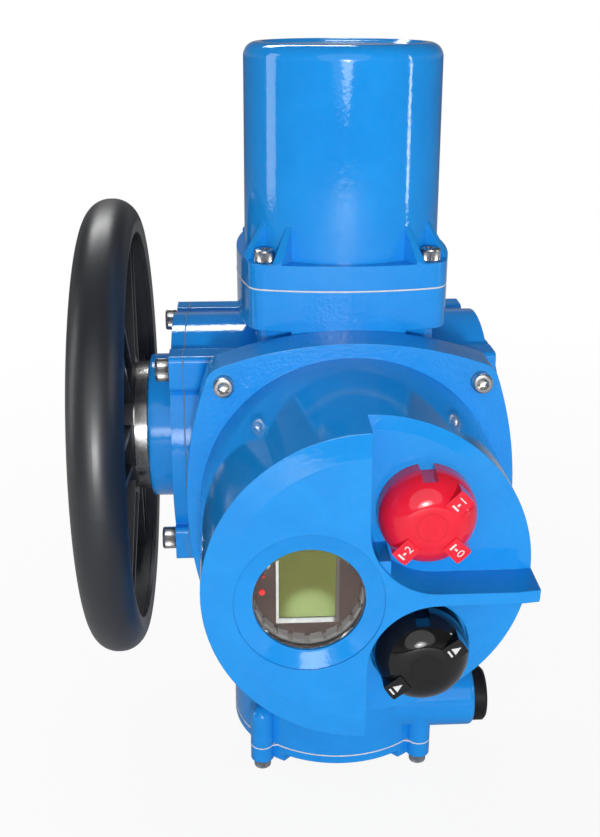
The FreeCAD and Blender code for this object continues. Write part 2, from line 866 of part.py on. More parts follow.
def sleeve_bush():
    low = sleeve_left + 2
    return placed(tube(hand_tube_bore - 0.02, sleeve_radius + running_gap, sleeve_bush_length,
                       low), output_frame)


def rim():
    half = rim_width / 2
    inner = rim_radius - rim_depth
    low, middle, high = rim_middle - half, rim_middle, rim_middle + half
    return revolved([
        (inner, low + 1.5), (inner + 8.5, low), (rim_radius - 3.6, middle - half * 0.62,
                                                rim_radius, middle),
        (rim_radius - 3.6, middle + half * 0.62, inner + 8.5, high), (inner, high - 1.5),
        (inner, high - 1.5 - rim_lip), (inner + rim_lip, high - 2.5 - rim_lip),
        (inner + rim_lip, low + 2.5 + rim_lip), (inner, low + 1.5 + rim_lip)])


def spoke_outline(radius, width, low, high):
    return Part.makePolygon([V(radius, -width / 2, low), V(radius, width / 2, low),
                             V(radius, width / 2, high), V(radius, -width / 2, high),
                             V(radius, -width / 2, low)])


def spoke():
    """A tapered channel from the hub to the rim, open towards the gear case."""
    root, tip = hub_radius - 8, rim_radius - rim_depth + rim_lip + 0.5
    tip_low = rim_middle - spoke_tip_depth / 2
    tip_high = rim_middle + spoke_tip_depth / 2
    back = hub_face + hub_width
    bar = Part.makeLoft([spoke_outline(root, spoke_root_width, hub_face + 1, back),
                         spoke_outline(tip, spoke_tip_width, tip_low, tip_high)], True, True)
    channel = Part.makeLoft([
        spoke_outline(hub_radius + 4, spoke_root_width - 2 * spoke_wall, hub_face - 2,
                      back - spoke_web - 2),
        spoke_outline(tip - 6, spoke_tip_width - 2 * spoke_wall, tip_low - 3,
                      tip_high - spoke_web)], True, True)
    return bar.cut(channel)


def handwheel():
    hub = cylinder(hub_radius, hub_width, hub_face)
    spokes = [spoke().rotated(V(0, 0, 0), Z, i * 360.0 / spoke_count) for i in range(spoke_count)]
    bore = cylinder(hand_spigot_radius + fit_gap, hub_width, hub_face)
    screws = clearance(around(hub_screw_count, hub_screw_circle), hub_width,
                       hub_face + hub_width, large_shank)
    return placed(rim().multiFuse([hub] + spokes).cut([bore, screws]), hand_frame)


def handwheel_screws():
    screw = large_screw(hub_width + hand_collar_thick - 3)
    return placed(screw_set(screw, around(hub_screw_count, hub_screw_circle),
                            hub_face + hub_width), hand_frame)


def stem_cap():
    """The cap that closes the stem passage in the middle of the handwheel."""
    low = hub_face + hub_width
    cap = revolved([(0, low), (stem_cap_radius, low), (stem_cap_radius, low + 3),
                    (stem_cap_radius - 3, low + stem_cap_height), (0, low + stem_cap_height)])
    plug = cylinder(sleeve_bore - fit_gap, stem_cap_plug, low - stem_cap_plug)
    return placed(cap.fuse(plug), hand_frame)


# Control housing

def pocket(side_low, side_high, height, z):
    """A corner cut, open to the right and rounded at its inner corner."""
    reach = control_radius_back + pocket_overrun
    width = reach - pocket_wall_x
    cut = Part.makeBox(width, side_high - side_low, height, V(pocket_wall_x, side_low, z))
    inner_y = side_low if abs(side_low) < abs(side_high) else side_high
    inner = [edge for edge in upright_edges(cut)
             if abs(edge.Vertexes[0].X - pocket_wall_x) < 1e-6
             and abs(edge.Vertexes[0].Y - inner_y) < 1e-6]
    return cut.makeFillet(pocket_corner, inner)


def pockets(height, z):
    reach = control_radius_back + pocket_overrun
    return [pocket(ledge_top, reach, height, z), pocket(-reach, ledge_bottom, height, z)]


def stop_block():
    """Fills the inner corner of the upper pocket, a little below the raised face."""
    low = pocket_floor - 1
    return Part.makeBox(stop_block_x - pocket_wall_x + 10, stop_block_z - ledge_top + 5,
                        control_face - stop_block_drop - low,
                        V(pocket_wall_x - 10, ledge_top - 5, low))


def at_window(shape):
    moved = shape.copy()
    moved.translate(V(window_x, window_z, 0))
    return moved


def control_cover():
    """The moulded cover: an S-shaped raised face with a window between two knob pockets."""
    flange = bulged_square(control_half, control_bulge, control_corner, control_flange)
    drum = revolved([
        (0, control_flange - 1), (control_radius_back, control_flange - 1),
        (control_radius_front, control_face - control_rim_drop),
        (control_radius_front - control_rim_bevel, control_face), (0, control_face)])
    upper, lower = pockets(pocket_depth + 1, pocket_floor)
    shell = flange.fuse(drum).cut([upper.cut(stop_block()), lower])
    rim_ring = revolved([
        (control_radius_front - pocket_rim, pocket_floor), (control_radius_back, pocket_floor),
        (control_radius_back, pocket_floor - pocket_rim_drop * 1.3)])
    shell = shell.cut(rim_ring.common(Part.makeCompound(pockets(10.0, pocket_floor - 5))))

    inside = cylinder(control_cavity, pocket_floor - pocket_floor_thick)
    raised_low = pocket_floor - pocket_floor_thick
    raised_height = pocket_depth + pocket_floor_thick - control_face_thick
    crescent = cylinder(control_cavity - 4, raised_height, raised_low).cut([
        block(200, 400, 100, x=100 + pocket_wall_x - control_face_thick, z=raised_low - 1),
        at_window(cylinder(window_well_radius + window_well_wall, 100, raised_low - 1))])
    well = at_window(cylinder(window_well_radius, window_lip_back - raised_low + 1,
                              raised_low - 1))
    lip = at_window(cylinder(window_lip_radius, control_face, 0))
    dish = at_window(revolved([
        (0, control_face + 1), (window_dish_radius, control_face + 1),
        (window_dish_radius, control_face - window_dish_step),
        (window_lip_radius + 1, window_lip_front), (0, window_lip_front)]))
    recess = cylinder(knob_radius + black_recess_gap, black_recess_depth + 1,
                      pocket_floor - black_recess_depth, knob_x, black_knob_z)
    seal_outer = control_cavity + 1 + control_seal_width
    groove = tube(seal_outer, control_cavity + 1, control_seal_thick)
    screws = clearance(four_corners(control_screw_place), control_flange, control_flange)
    shell = shell.cut([inside, crescent, well, lip, dish, recess, groove, screws])

    red_pin = cylinder(knob_pin_radius, knob_pin_height + 1, pocket_floor - 1, knob_x, red_knob_z)
    black_pin = cylinder(knob_pin_radius, knob_pin_height + 1,
                         pocket_floor - black_recess_depth - 1, knob_x, black_knob_z)
    return placed(shell.multiFuse([red_pin, black_pin]), control_frame)


def control_cover_seal():
    inner = control_cavity + 1 + thread_gap
    outer = control_cavity + 1 + control_seal_width - thread_gap
    return placed(tube(outer, inner, control_seal_thick - thread_gap), control_frame)


def control_cover_screws():
    return placed(screw_set(cover_screw(control_flange + screw_bite),
                            four_corners(control_screw_place), control_flange), control_frame)


def window_glass():
    """The stepped toughened glass, put in from behind."""
    lens = revolved([
        (0, glass_flange_back), (window_well_radius - thread_gap * 2, glass_flange_back),
        (window_well_radius - thread_gap * 2, window_lip_back - window_gap),
        (window_lip_radius - window_gap, window_lip_back - window_gap),
        (window_lip_radius - window_gap, window_lip_front - 1.2),
        (window_lip_radius - window_gap - 0.7, window_lip_front - 0.5),
        (0, window_lip_front - 0.5)])
    return placed(at_window(lens), control_frame)


def window_gasket():
    ring = tube(window_well_radius - thread_gap * 2, window_lip_radius + thread_gap, window_gap,
                window_lip_back - window_gap)
    return placed(at_window(ring), control_frame)


def window_ring():
    """The slotted ring that screws in behind the glass."""
    ring = tube(window_well_radius - thread_gap, window_ring_bore, window_ring_thick,
                window_ring_back)
    slots = [block(window_slot_depth + 1, window_slot_width, window_ring_thick,
                   x=window_ring_bore + (window_slot_depth - 1) / 2, z=window_ring_back)
             .rotated(V(0, 0, 0), Z, i * 360.0 / window_ring_slots)
             for i in range(window_ring_slots)]
    return placed(at_window(ring.cut(slots)), control_frame)


def display_plate():
    plate = cylinder(window_well_radius - thread_gap * 3, display_plate_thick, display_plate_back)
    return placed(at_window(plate), control_frame)


def display_board():
    """The round board behind the plate, on three posts."""
    board = cylinder(window_well_radius - 1, display_board_thick, display_board_back)
    posts = [cylinder(display_post_radius, display_post_height,
                      display_board_back + display_board_thick, x, y)
             for x, y in around(3, window_well_radius - 8, 90)]
    return placed(at_window(board.multiFuse(posts)), control_frame)


def lcd_block(side_border, low_border, high_border, thick):
    width = lcd_width - 2 * side_border
    height = lcd_high - lcd_low - low_border - high_border
    return block(width, height, thick, y=lcd_low + low_border + height / 2, z=window_ring_back)


def lcd_frame():
    outer = lcd_block(0.0, 0.0, 0.0, lcd_thick)
    inner = lcd_block(lcd_side_border, lcd_low_border, lcd_high_border, lcd_thick)
    return placed(at_window(outer.cut(inner)), control_frame)


def lcd_panel():
    panel = lcd_block(lcd_side_border + lcd_gap, lcd_low_border + lcd_gap,
                      lcd_high_border + lcd_gap, lcd_thick - lcd_sink)
    return placed(at_window(panel), control_frame)


def status_leds():
    red = cylinder(led_radius, led_height, window_ring_back, led_x, led_z)
    second = cylinder(second_led_radius, led_height, window_ring_back, led_x + 1,
                      led_z + second_led_rise)
    return placed(at_window(Part.makeCompound([red, second])), control_frame)


def knob_tab(angle, foot):
    """A flat label tab, level with the top of the knob and rounded with its skirt."""
    low = knob_skirt + foot
    length = knob_tab_reach + 5 - knob_tab_start
    tab = block(length, knob_tab_width, knob_height - knob_skirt, z=low,
                x=knob_tab_start + length / 2)
    return tab.common(cylinder(knob_tab_reach, knob_height, low)).rotated(V(0, 0, 0), Z, angle)


def knob(tab_angles, foot):
    """A domed knob with label tabs; foot is how far its skirt reaches into a recess."""
    top = knob_height + foot
    dome = revolved([
        (0, 0), (knob_radius, 0), (knob_radius, knob_skirt + foot),
        (knob_dome_radius, knob_dome_height + foot, knob_cap_radius, top), (0, top)])
    tabs = [knob_tab(angle, foot) for angle in tab_angles]
    notch = block(2 * knob_notch_depth, knob_notch_width, top, x=knob_radius)
    pin_hole = cylinder(knob_pin_radius + running_gap, knob_pin_height + 1)
    cap_seat = cylinder(knob_cap_radius - 0.6, knob_cap_thick + 1, top - knob_cap_thick)
    return dome.multiFuse(tabs).cut([notch.rotated(V(0, 0, 0), Z, knob_notch_angle), pin_hole,
                                     cap_seat])


def knob_cap(foot):
    top = knob_height + foot
    return cylinder(knob_cap_radius - 0.6 - thread_gap, knob_cap_thick, top - knob_cap_thick)


def on_pin(shape, height, depth):
    moved = shape.copy()
    moved.translate(V(knob_x, height, pocket_floor - depth + seat_gap))
    return placed(moved, control_frame)


def control_board():
    """The main board on four pillars that stand on the back wall of the control housing."""
    board = block(board_width, board_height, board_thick, z=board_start)
    pillars = [cylinder(board_pillar, control_pit_depth + board_start, -control_pit_depth,
                        side * (board_width / 2 - board_pillar_edge),
                        end * (board_height / 2 - board_pillar_edge))
               for side in (1, -1) for end in (1, -1)]
    return placed(board.multiFuse(pillars), control_frame)


def power_supply():
    """The transformer and contactor block on the main board."""
    seat = board_start + board_thick
    core = block(transformer_width, transformer_height, transformer_depth, x=transformer_x,
                 y=transformer_y, z=seat)
    contactor = block(contactor_width, contactor_height, contactor_depth, x=contactor_x, z=seat)
    return placed(Part.makeCompound([core, contactor]), control_frame)


# Terminal compartment

def terminal_plate(height, z):
    lugs = [cylinder(terminal_lug_radius, height, z, x, y)
            for x, y in four_corners(terminal_lug_place)]
    return cylinder(terminal_radius, height, z).multiFuse(lugs)


def terminal_seal():
    plate = terminal_plate(terminal_seal_thick, 0)
    return placed(plate.cut([cylinder(terminal_pit_radius, terminal_seal_thick),
                             clearance(four_corners(terminal_lug_place), terminal_seal_thick,
                                       terminal_seal_thick)]), terminal_frame)


def terminal_cover():
    """A shallow cap with four thicker screw pads and a spigot that enters the housing."""
    low = terminal_seal_thick
    plate = terminal_plate(terminal_cover_thick, low)
    pads = [block(terminal_pad_width + 8, terminal_pad_width, terminal_pad_thick, y=0,
                  x=math.hypot(terminal_lug_place, terminal_lug_place) - 6, z=low)
            .rotated(V(0, 0, 0), Z, 45 + 90 * i) for i in range(4)]
    pad_zone = terminal_plate(terminal_pad_thick, low)
    hub = cylinder(terminal_pit_radius - 10, terminal_hub_thick, low)
    spigot = tube(terminal_pit_radius - fit_gap, terminal_pit_radius - terminal_spigot_wall,
                  terminal_spigot + low, -terminal_spigot)
    body = plate.multiFuse([pad.common(pad_zone) for pad in pads] + [hub, spigot])
    top = low + terminal_pad_thick
    return placed(body.cut(clearance(four_corners(terminal_lug_place), top, top)), terminal_frame)


def terminal_cover_screws():
    grip = terminal_seal_thick + terminal_pad_thick
    return placed(screw_set(cover_screw(grip + screw_bite), four_corners(terminal_lug_place),
                            grip), terminal_frame)


def terminal_block():
    disc = cylinder(terminal_block_radius, terminal_block_thick, -terminal_pit_depth)
    rib = block(2 * terminal_power_circle + 20, 6.0, terminal_stud_height + terminal_block_thick,
                y=-8, z=-terminal_pit_depth)
    return placed(disc.fuse(rib), terminal_frame)


def terminal_studs():
    seat = terminal_block_thick - terminal_pit_depth
    small = [cylinder(terminal_stud_radius, terminal_stud_height, seat, x, y)
             for x, y in around(terminal_stud_count, terminal_stud_circle, 15)]
    power = [cylinder(terminal_power_radius, terminal_stud_height + 4, seat, x, 8.0)
             for x in (-terminal_power_circle, 0, terminal_power_circle)]
    return placed(Part.makeCompound(small + power), terminal_frame)


def entry_plug():
    """A hexagon-socket blanking plug: its head stands on z = 0."""
    head = revolved([
        (0, 0), (plug_head_radius, 0), (plug_head_radius, plug_head_thick - plug_head_bevel),
        (plug_head_radius - plug_head_bevel, plug_head_thick), (0, plug_head_thick)])
    shank = cylinder(entry_bore - thread_gap, plug_shank_length, -plug_shank_length)
    socket = prism(around(6, plug_socket), plug_head_thick, plug_head_thick - plug_socket_depth)
    return head.fuse(shank).cut(socket)


def side_entry_plug():
    return placed(entry_plug(), frame(V(entry_end, entry_y, entry_z), Y, Z, X))


def rear_entry_plugs():
    return Part.makeCompound([
        placed(entry_plug(), frame(V(terminal_x + side * rear_entry_spread, rear_entry_y, entry_z),
                                   -X, Z, Y)) for side in (1, -1)])


write("gear_case", gear_case())
write("motor_cover", motor_cover())
write("motor_seal", motor_seal())
write("motor_cover_screws", motor_cover_screws())
write("stator", stator())
write("rotor_core", rotor_core())
write("worm_shaft", worm_shaft())
write("motor_bearings", motor_bearings())
write("worm_wheel", worm_wheel())
write("output_sleeve", output_sleeve())
write("drive_bush", drive_bush())
write("clutch_ring", clutch_ring())
write("output_bearing", output_bearing())
write("output_seal", output_seal())
write("thrust_base", thrust_base())
write("base_screws", base_screws())
write("gear_cover_gasket", gear_cover_gasket())
write("gear_cover", gear_cover())
write("gear_cover_screws", gear_cover_screws())
write("hand_bearing", hand_bearing())
write("hand_shaft", hand_shaft())
write("sleeve_bush", sleeve_bush())
write("handwheel", handwheel())
write("handwheel_screws", handwheel_screws())
write("stem_cap", stem_cap())
write("control_cover", control_cover())
write("control_cover_seal", control_cover_seal())
write("control_cover_screws", control_cover_screws())
write("window_glass", window_glass())
write("window_gasket", window_gasket())
write("window_ring", window_ring())
write("display_plate", display_plate())
write("display_board", display_board())
write("lcd_frame", lcd_frame())
write("lcd_panel", lcd_panel())
write("status_leds", status_leds())
write("red_selector", on_pin(knob(red_tab_angles, 0.0), red_knob_z, 0.0))
write("red_selector_cap", on_pin(knob_cap(0.0), red_knob_z, 0.0))
write("black_selector", on_pin(knob(black_tab_angles, black_recess_depth), black_knob_z,
                               black_recess_depth))
write("black_selector_cap", on_pin(knob_cap(black_recess_depth), black_knob_z,
                                   black_recess_depth))
write("control_board", control_board())
write("power_supply", power_supply())
write("terminal_seal", terminal_seal())
write("terminal_cover", terminal_cover())
write("terminal_cover_screws", terminal_cover_screws())
write("terminal_block", terminal_block())
write("terminal_studs", terminal_studs())
write("side_entry_plug", side_entry_plug())
write("rear_entry_plugs", rear_entry_plugs())
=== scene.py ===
# %% [markdown]
# # Electric valve actuator
# The solids come from the CAD model, already in their places and in metres. This lesson gives
# them a camera, a studio and finishes, and adds the small pieces that only the eye needs:
# proper socket screws, squeezed-out sealant and the marks on the selector knobs.
# The box of the solids is measured first, and its lowest point gives the floor's height.

# %% Load the solids and measure them
import json
import math
import bmesh
import bpy
from mathutils import Matrix, Vector, noise


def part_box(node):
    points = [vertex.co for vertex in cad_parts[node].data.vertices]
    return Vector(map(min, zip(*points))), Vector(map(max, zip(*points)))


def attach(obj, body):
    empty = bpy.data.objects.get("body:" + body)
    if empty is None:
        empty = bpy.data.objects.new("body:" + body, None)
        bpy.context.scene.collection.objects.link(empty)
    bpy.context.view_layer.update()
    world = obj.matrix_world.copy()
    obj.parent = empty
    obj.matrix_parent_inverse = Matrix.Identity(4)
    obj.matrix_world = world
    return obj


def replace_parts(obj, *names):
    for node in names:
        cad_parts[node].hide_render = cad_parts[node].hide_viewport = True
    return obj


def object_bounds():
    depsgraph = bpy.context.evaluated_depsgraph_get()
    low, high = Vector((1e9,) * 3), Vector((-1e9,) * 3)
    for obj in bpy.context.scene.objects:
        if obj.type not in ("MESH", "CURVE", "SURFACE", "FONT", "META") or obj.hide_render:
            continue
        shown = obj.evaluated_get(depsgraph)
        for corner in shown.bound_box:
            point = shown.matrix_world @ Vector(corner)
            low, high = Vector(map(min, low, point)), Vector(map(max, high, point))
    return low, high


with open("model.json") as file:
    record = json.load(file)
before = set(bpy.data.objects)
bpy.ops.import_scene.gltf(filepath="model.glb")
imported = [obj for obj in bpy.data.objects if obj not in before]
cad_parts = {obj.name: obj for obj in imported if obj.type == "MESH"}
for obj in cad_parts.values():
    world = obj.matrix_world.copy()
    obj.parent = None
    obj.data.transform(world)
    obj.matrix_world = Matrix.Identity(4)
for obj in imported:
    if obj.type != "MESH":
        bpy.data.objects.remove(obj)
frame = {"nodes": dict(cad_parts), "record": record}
nodes = frame["nodes"]
solid_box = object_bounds()
print("solids:", len(nodes), "lowest and highest corner:", *solid_box)

# %% [markdown]
# The photograph looks a little down on the actuator from in front of its control cover. The
# camera's place and angles are written as measured, in metres and radians. Its sensor is 36 mm
# along the picture's long side, and the small shift puts the optical centre where the
# photograph has it.

# %% Camera
yaw, pitch, roll = 0.0621, -0.3638, 0.0041
camera_data = bpy.data.cameras.new("camera")
camera = bpy.data.objects.new("camera", camera_data)
bpy.context.scene.collection.objects.link(camera)
bpy.context.scene.camera = camera
camera.location = (-0.1884, -0.8185, 0.3110)
turn = (Matrix.Rotation(-yaw, 4, "Z") @ Matrix.Rotation(math.pi / 2 + pitch, 4, "X")
        @ Matrix.Rotation(roll, 4, "Z"))
camera.rotation_euler = turn.to_euler()
camera_data.sensor_width = 36
camera_data.lens = 48.53
camera_data.shift_x = -0.0090
camera_data.shift_y = 0.0053
camera_data.clip_start = 0.01
camera_data.clip_end = 100
bpy.context.scene.view_settings.view_transform = "Standard"
print("camera at", tuple(camera.location), "lens", camera_data.lens)

# %% [markdown]
# A few helpers keep the finishes short. `fill` gives one input its value, or a link from another
# node. `put` adds a node and fills its inputs. `pick` mixes two colours by a mask, `ramp` maps a
# range of values to another, and `math_node` does one sum. `new_group` makes a node group with
# its sockets, and `use` puts such a group into a finish.

# %% Node helpers
def fill(tree, socket, value):
    if isinstance(value, bpy.types.NodeSocket):
        tree.links.new(value, socket)
    else:
        socket.default_value = value


def put(tree, kind, inputs=None, **settings):
    made = tree.nodes.new(kind)
    for name, value in settings.items():
        setattr(made, name, value)
    for name, value in (inputs or {}).items():
        fill(tree, made.inputs[name], value)
    return made


def pick(tree, mask, first, second):
    """Two colours mixed by a mask. The mix node's colour sockets are its 6th and 7th."""
    made = put(tree, "ShaderNodeMix", {0: mask}, data_type="RGBA")
    for place, value in ((6, first), (7, second)):
        fill(tree, made.inputs[place], (*value, 1) if isinstance(value, tuple) else value)
    return made.outputs[2]


def ramp(tree, value, low, high, to_low=0.0, to_high=1.0):
    """The value's range from low to high, mapped to another range and clamped to it."""
    made = put(tree, "ShaderNodeMapRange", {"Value": value, "From Min": low, "From Max": high,
                                            "To Min": to_low, "To Max": to_high})
    return made.outputs["Result"]


def math_node(tree, operation, *values):
    return put(tree, "ShaderNodeMath", dict(enumerate(values)), operation=operation).outputs[0]


def new_group(name, takes, gives):
    tree = bpy.data.node_groups.new(name, "ShaderNodeTree")
    kinds = {"vector": "NodeSocketVector", "value": "NodeSocketFloat", "color": "NodeSocketColor"}
    for direction, sockets in (("INPUT", takes), ("OUTPUT", gives)):
        for label, kind in sockets.items():
            tree.interface.new_socket(label, in_out=direction, socket_type=kinds[kind])
    return tree, tree.nodes.new("NodeGroupInput"), tree.nodes.new("NodeGroupOutput")


def use(tree, group, inputs):
    made = tree.nodes.new("ShaderNodeGroup")
    made.node_tree = group
    for name, value in inputs.items():
        fill(tree, made.inputs[name], value)
    return made

print("helpers ready")

# %% [markdown]
# ## Shared effects
# Four effects are used again and again, so each is a node group. Patches are broad soft clouds
# for handling marks and uneven gloss. Grain is a fine bump. Enamel is the orange peel of
# sprayed paint, with the coarse skin of the casting under it where a mask asks for it. Turned
# rings are the fine grooves that a lathe leaves, read from the distance to the turning axis.

# %% Patches and grain
patches, takes, gives = new_group("patches", {"Vector": "vector", "Scale": "value"},
                                  {"Mask": "value"})
cloud = put(patches, "ShaderNodeTexNoise", {"Vector": takes.outputs["Vector"],
            "Scale": takes.outputs["Scale"], "Detail": 5.0, "Roughness": 0.62, "Distortion": 0.6})
patches.links.new(ramp(patches, cloud.outputs["Fac"], 0.34, 0.68), gives.inputs["Mask"])

grain, takes, gives = new_group("grain", {"Vector": "vector", "Scale": "value",
                                          "Height": "value"}, {"Normal": "vector"})
fine = put(grain, "ShaderNodeTexNoise", {"Vector": takes.outputs["Vector"],
           "Scale": takes.outputs["Scale"], "Detail": 3.0, "Roughness": 0.6})
bump = put(grain, "ShaderNodeBump", {"Height": fine.outputs["Fac"],
           "Distance": takes.outputs["Height"], "Strength": 1.0})
grain.links.new(bump.outputs["Normal"], gives.inputs["Normal"])
print("groups:", patches.name, grain.name)

# %% Enamel over a casting
enamel, takes, gives = new_group("enamel", {"Vector": "vector", "Skin": "value",
                                            "Normal": "vector"}, {"Normal": "vector"})
place = takes.outputs["Vector"]
peel = put(enamel, "ShaderNodeTexNoise", {"Vector": place, "Scale": 420.0, "Detail": 1.5,
                                          "Roughness": 0.4})
lumps = put(enamel, "ShaderNodeTexNoise", {"Vector": place, "Scale": 330.0, "Detail": 4.0,
                                           "Roughness": 0.62})
pits = put(enamel, "ShaderNodeTexVoronoi", {"Vector": place, "Scale": 520.0},
           feature="SMOOTH_F1")
skin = math_node(enamel, "ADD", lumps.outputs["Fac"],
                 math_node(enamel, "MULTIPLY", pits.outputs["Distance"], 0.5))
rough_part = put(enamel, "ShaderNodeBump", {
    "Height": skin, "Strength": takes.outputs["Skin"], "Distance": 0.00042,
    "Normal": takes.outputs["Normal"]})
smooth_part = put(enamel, "ShaderNodeBump", {
    "Height": peel.outputs["Fac"], "Strength": 1.0, "Distance": 0.000035,
    "Normal": rough_part.outputs["Normal"]})
enamel.links.new(smooth_part.outputs["Normal"], gives.inputs["Normal"])
print("group:", enamel.name)

# %% Turned rings
turned, takes, gives = new_group("turned rings", {"Vector": "vector", "Across": "vector",
                                                  "Along": "vector"},
                                 {"Mask": "value", "Normal": "vector"})
place = takes.outputs["Vector"]
side = put(turned, "ShaderNodeVectorMath", {0: place, 1: takes.outputs["Across"]},
           operation="MULTIPLY")
radius = put(turned, "ShaderNodeVectorMath", {0: side.outputs[0]}, operation="LENGTH")
depth = put(turned, "ShaderNodeVectorMath", {0: place, 1: takes.outputs["Along"]},
            operation="DOT_PRODUCT")
travel = math_node(turned, "ADD", radius.outputs["Value"], depth.outputs["Value"])
groove = put(turned, "ShaderNodeTexNoise", {"W": travel, "Scale": 2600.0, "Detail": 3.0},
             noise_dimensions="1D")
bump = put(turned, "ShaderNodeBump", {"Height": groove.outputs["Fac"], "Distance": 0.00003,
                                      "Strength": 0.6})
turned.links.new(groove.outputs["Fac"], gives.inputs["Mask"])
turned.links.new(bump.outputs["Normal"], gives.inputs["Normal"])
print("group:", turned.name)

# %% [markdown]
# ## Finishes
# `finish` makes an ordinary surface: two close colours and two degrees of gloss, mixed by the
# patches, and a grain. Metals, plastics and rubber differ only in those numbers. `dress` fills a
# shader's inputs by their names; with it the plugs and the rubber mirror less than plain plastic
# does, and the handwheel's paint more. The paint of the housings, the turned steel, the
# laminations, the boards and the display need more and come after.

# %% Ordinary surfaces
def start_material(name):
    """A material, its tree, its shader and the place on the piece in metres."""
    made = bpy.data.materials.new(name)
    made.use_nodes = True
    tree = made.node_tree
    place = put(tree, "ShaderNodeTexCoord").outputs["Object"]
    return made, tree, tree.nodes["Principled BSDF"], place


def dress(tree, shader, inputs):
    for name, value in inputs.items():
        fill(tree, shader.inputs[name], value)


def finish(name, first, second, gloss, grain_size, grain_height, metallic=0.0, patch=60.0,
           coat=0.0):
    """Two colours and two degrees of gloss in patches, with a grain whose height is in metres."""
    made, tree, shader, place = start_material(name)
    mask = use(tree, patches, {"Vector": place, "Scale": patch}).outputs["Mask"]
    normal = use(tree, grain, {"Vector": place, "Scale": grain_size, "Height": grain_height})
    dress(tree, shader, {"Base Color": pick(tree, mask, first, second),
                         "Roughness": ramp(tree, mask, 0, 1, *gloss),
                         "Normal": normal.outputs["Normal"], "Metallic": metallic,
                         "Coat Weight": coat, "Coat Roughness": 0.08})
    return made

looks = {
    "stainless": finish("stainless steel", (0.60, 0.59, 0.57), (0.48, 0.47, 0.46),
                        (0.22, 0.36), 3000, 0.00001, 1.0, 260),
    "dark_steel": finish("blackened steel", (0.10, 0.10, 0.11), (0.17, 0.16, 0.16),
                         (0.30, 0.48), 1500, 0.00002, 1.0),
    "bearing_steel": finish("bearing steel", (0.62, 0.63, 0.65), (0.50, 0.51, 0.54),
                            (0.12, 0.24), 2500, 0.000006, 1.0),
    "bronze": finish("bronze", (0.56, 0.33, 0.13), (0.44, 0.24, 0.09), (0.24, 0.40), 1800,
                     0.00001, 1.0),
    "brass": finish("brass", (0.72, 0.52, 0.20), (0.60, 0.41, 0.14), (0.18, 0.34), 1800,
                    0.00001, 1.0),
    "black_rubber": finish("black rubber", (0.012, 0.012, 0.013), (0.022, 0.021, 0.02),
                           (0.55, 0.75), 1400, 0.00004),
    "gasket_sheet": finish("fibre gasket", (0.16, 0.20, 0.17), (0.24, 0.27, 0.22),
                           (0.75, 0.92), 1700, 0.00006, patch=400),
    "plug_plastic": finish("plug plastic", (0.013, 0.012, 0.013), (0.022, 0.020, 0.021),
                           (0.30, 0.46), 1300, 0.00003),
    "red_plastic": finish("red plastic", (0.90, 0.014, 0.044), (0.84, 0.011, 0.036),
                          (0.06, 0.10), 700, 0.000006, patch=140, coat=0.3),
    "black_plastic": finish("black plastic", (0.006, 0.006, 0.007), (0.009, 0.009, 0.009),
                            (0.06, 0.11), 700, 0.000006, patch=140, coat=0.3),
    "red_led": finish("red lamp", (0.75, 0.01, 0.008), (0.60, 0.006, 0.005), (0.12, 0.2),
                      900, 0.00001),
    "electronics": finish("potted parts", (0.025, 0.025, 0.028), (0.045, 0.043, 0.045),
                          (0.35, 0.55), 900, 0.00006),
    "terminal_plastic": finish("terminal plastic", (0.50, 0.46, 0.36), (0.44, 0.40, 0.31),
                               (0.36, 0.5), 1200, 0.00003),
    "sealant": finish("white sealant", (0.78, 0.80, 0.82), (0.66, 0.69, 0.72), (0.42, 0.6),
                      520, 0.00012, patch=120),
    "black_paint": finish("satin black paint", (0.017, 0.019, 0.024), (0.020, 0.021, 0.026),
                          (0.37, 0.43), 1500, 0.00003, patch=18),
}
for name, mirror in (("plug_plastic", 0.1), ("black_rubber", 0.2), ("black_paint", 0.8)):
    tree = looks[name].node_tree
    dress(tree, tree.nodes["Principled BSDF"], {"Specular IOR Level": mirror})
print("ordinary finishes:", len(looks))

# %% [markdown]
# The housings carry one thick blue enamel. It is glossy with a fine orange peel on the machined
# cover, and the casting's own lumps show through on the gear case and on the cover's flange.
# The strength of that skin comes from the place along the control axis. Edges are shaded as if
# they were rounded by almost a millimetre, as thick paint rounds them.

# %% Blue enamel
edge_round = 0.0009
skin_blend = 0.002


def blue_enamel(name, skin_front, skin_back, change):
    """Enamel whose casting skin goes from one strength to another at a place along Y."""
    made, tree, shader, place = start_material(name)
    parts = put(tree, "ShaderNodeSeparateXYZ", {"Vector": place})
    skin = ramp(tree, parts.outputs["Y"], change - skin_blend, change + skin_blend,
                skin_front, skin_back)
    mask = use(tree, patches, {"Vector": place, "Scale": 26.0}).outputs["Mask"]
    dust = use(tree, patches, {"Vector": place, "Scale": 210.0}).outputs["Mask"]
    blue = pick(tree, mask, (0.0085, 0.285, 0.80), (0.0105, 0.315, 0.85))
    gloss = math_node(tree, "ADD", ramp(tree, mask, 0, 1, 0.04, 0.07),
                      math_node(tree, "MULTIPLY", skin, 0.10))
    edges = put(tree, "ShaderNodeBevel", {"Radius": edge_round}, samples=4)
    normal = use(tree, enamel, {"Vector": place, "Skin": skin,
                                "Normal": edges.outputs["Normal"]})
    dress(tree, shader, {
        "Base Color": pick(tree, math_node(tree, "MULTIPLY", dust, 0.05), blue,
                           (0.16, 0.42, 0.85)),
        "Roughness": gloss, "Normal": normal.outputs["Normal"]})
    return made

enamels = {
    "gear_case": blue_enamel("blue enamel on the case", 0.6, 0.10, -0.115),
    "control_cover": blue_enamel("blue enamel on the control cover", 0.05, 0.75, -0.149),
    "motor_cover": blue_enamel("blue enamel on the motor cover", 0.06, 0.06, 0.0),
    "gear_cover": blue_enamel("blue enamel on the gear cover", 0.12, 0.12, 0.0),
}
looks["housing_paint"] = enamels["gear_case"]
print("enamels:", *[look.name for look in enamels.values()])

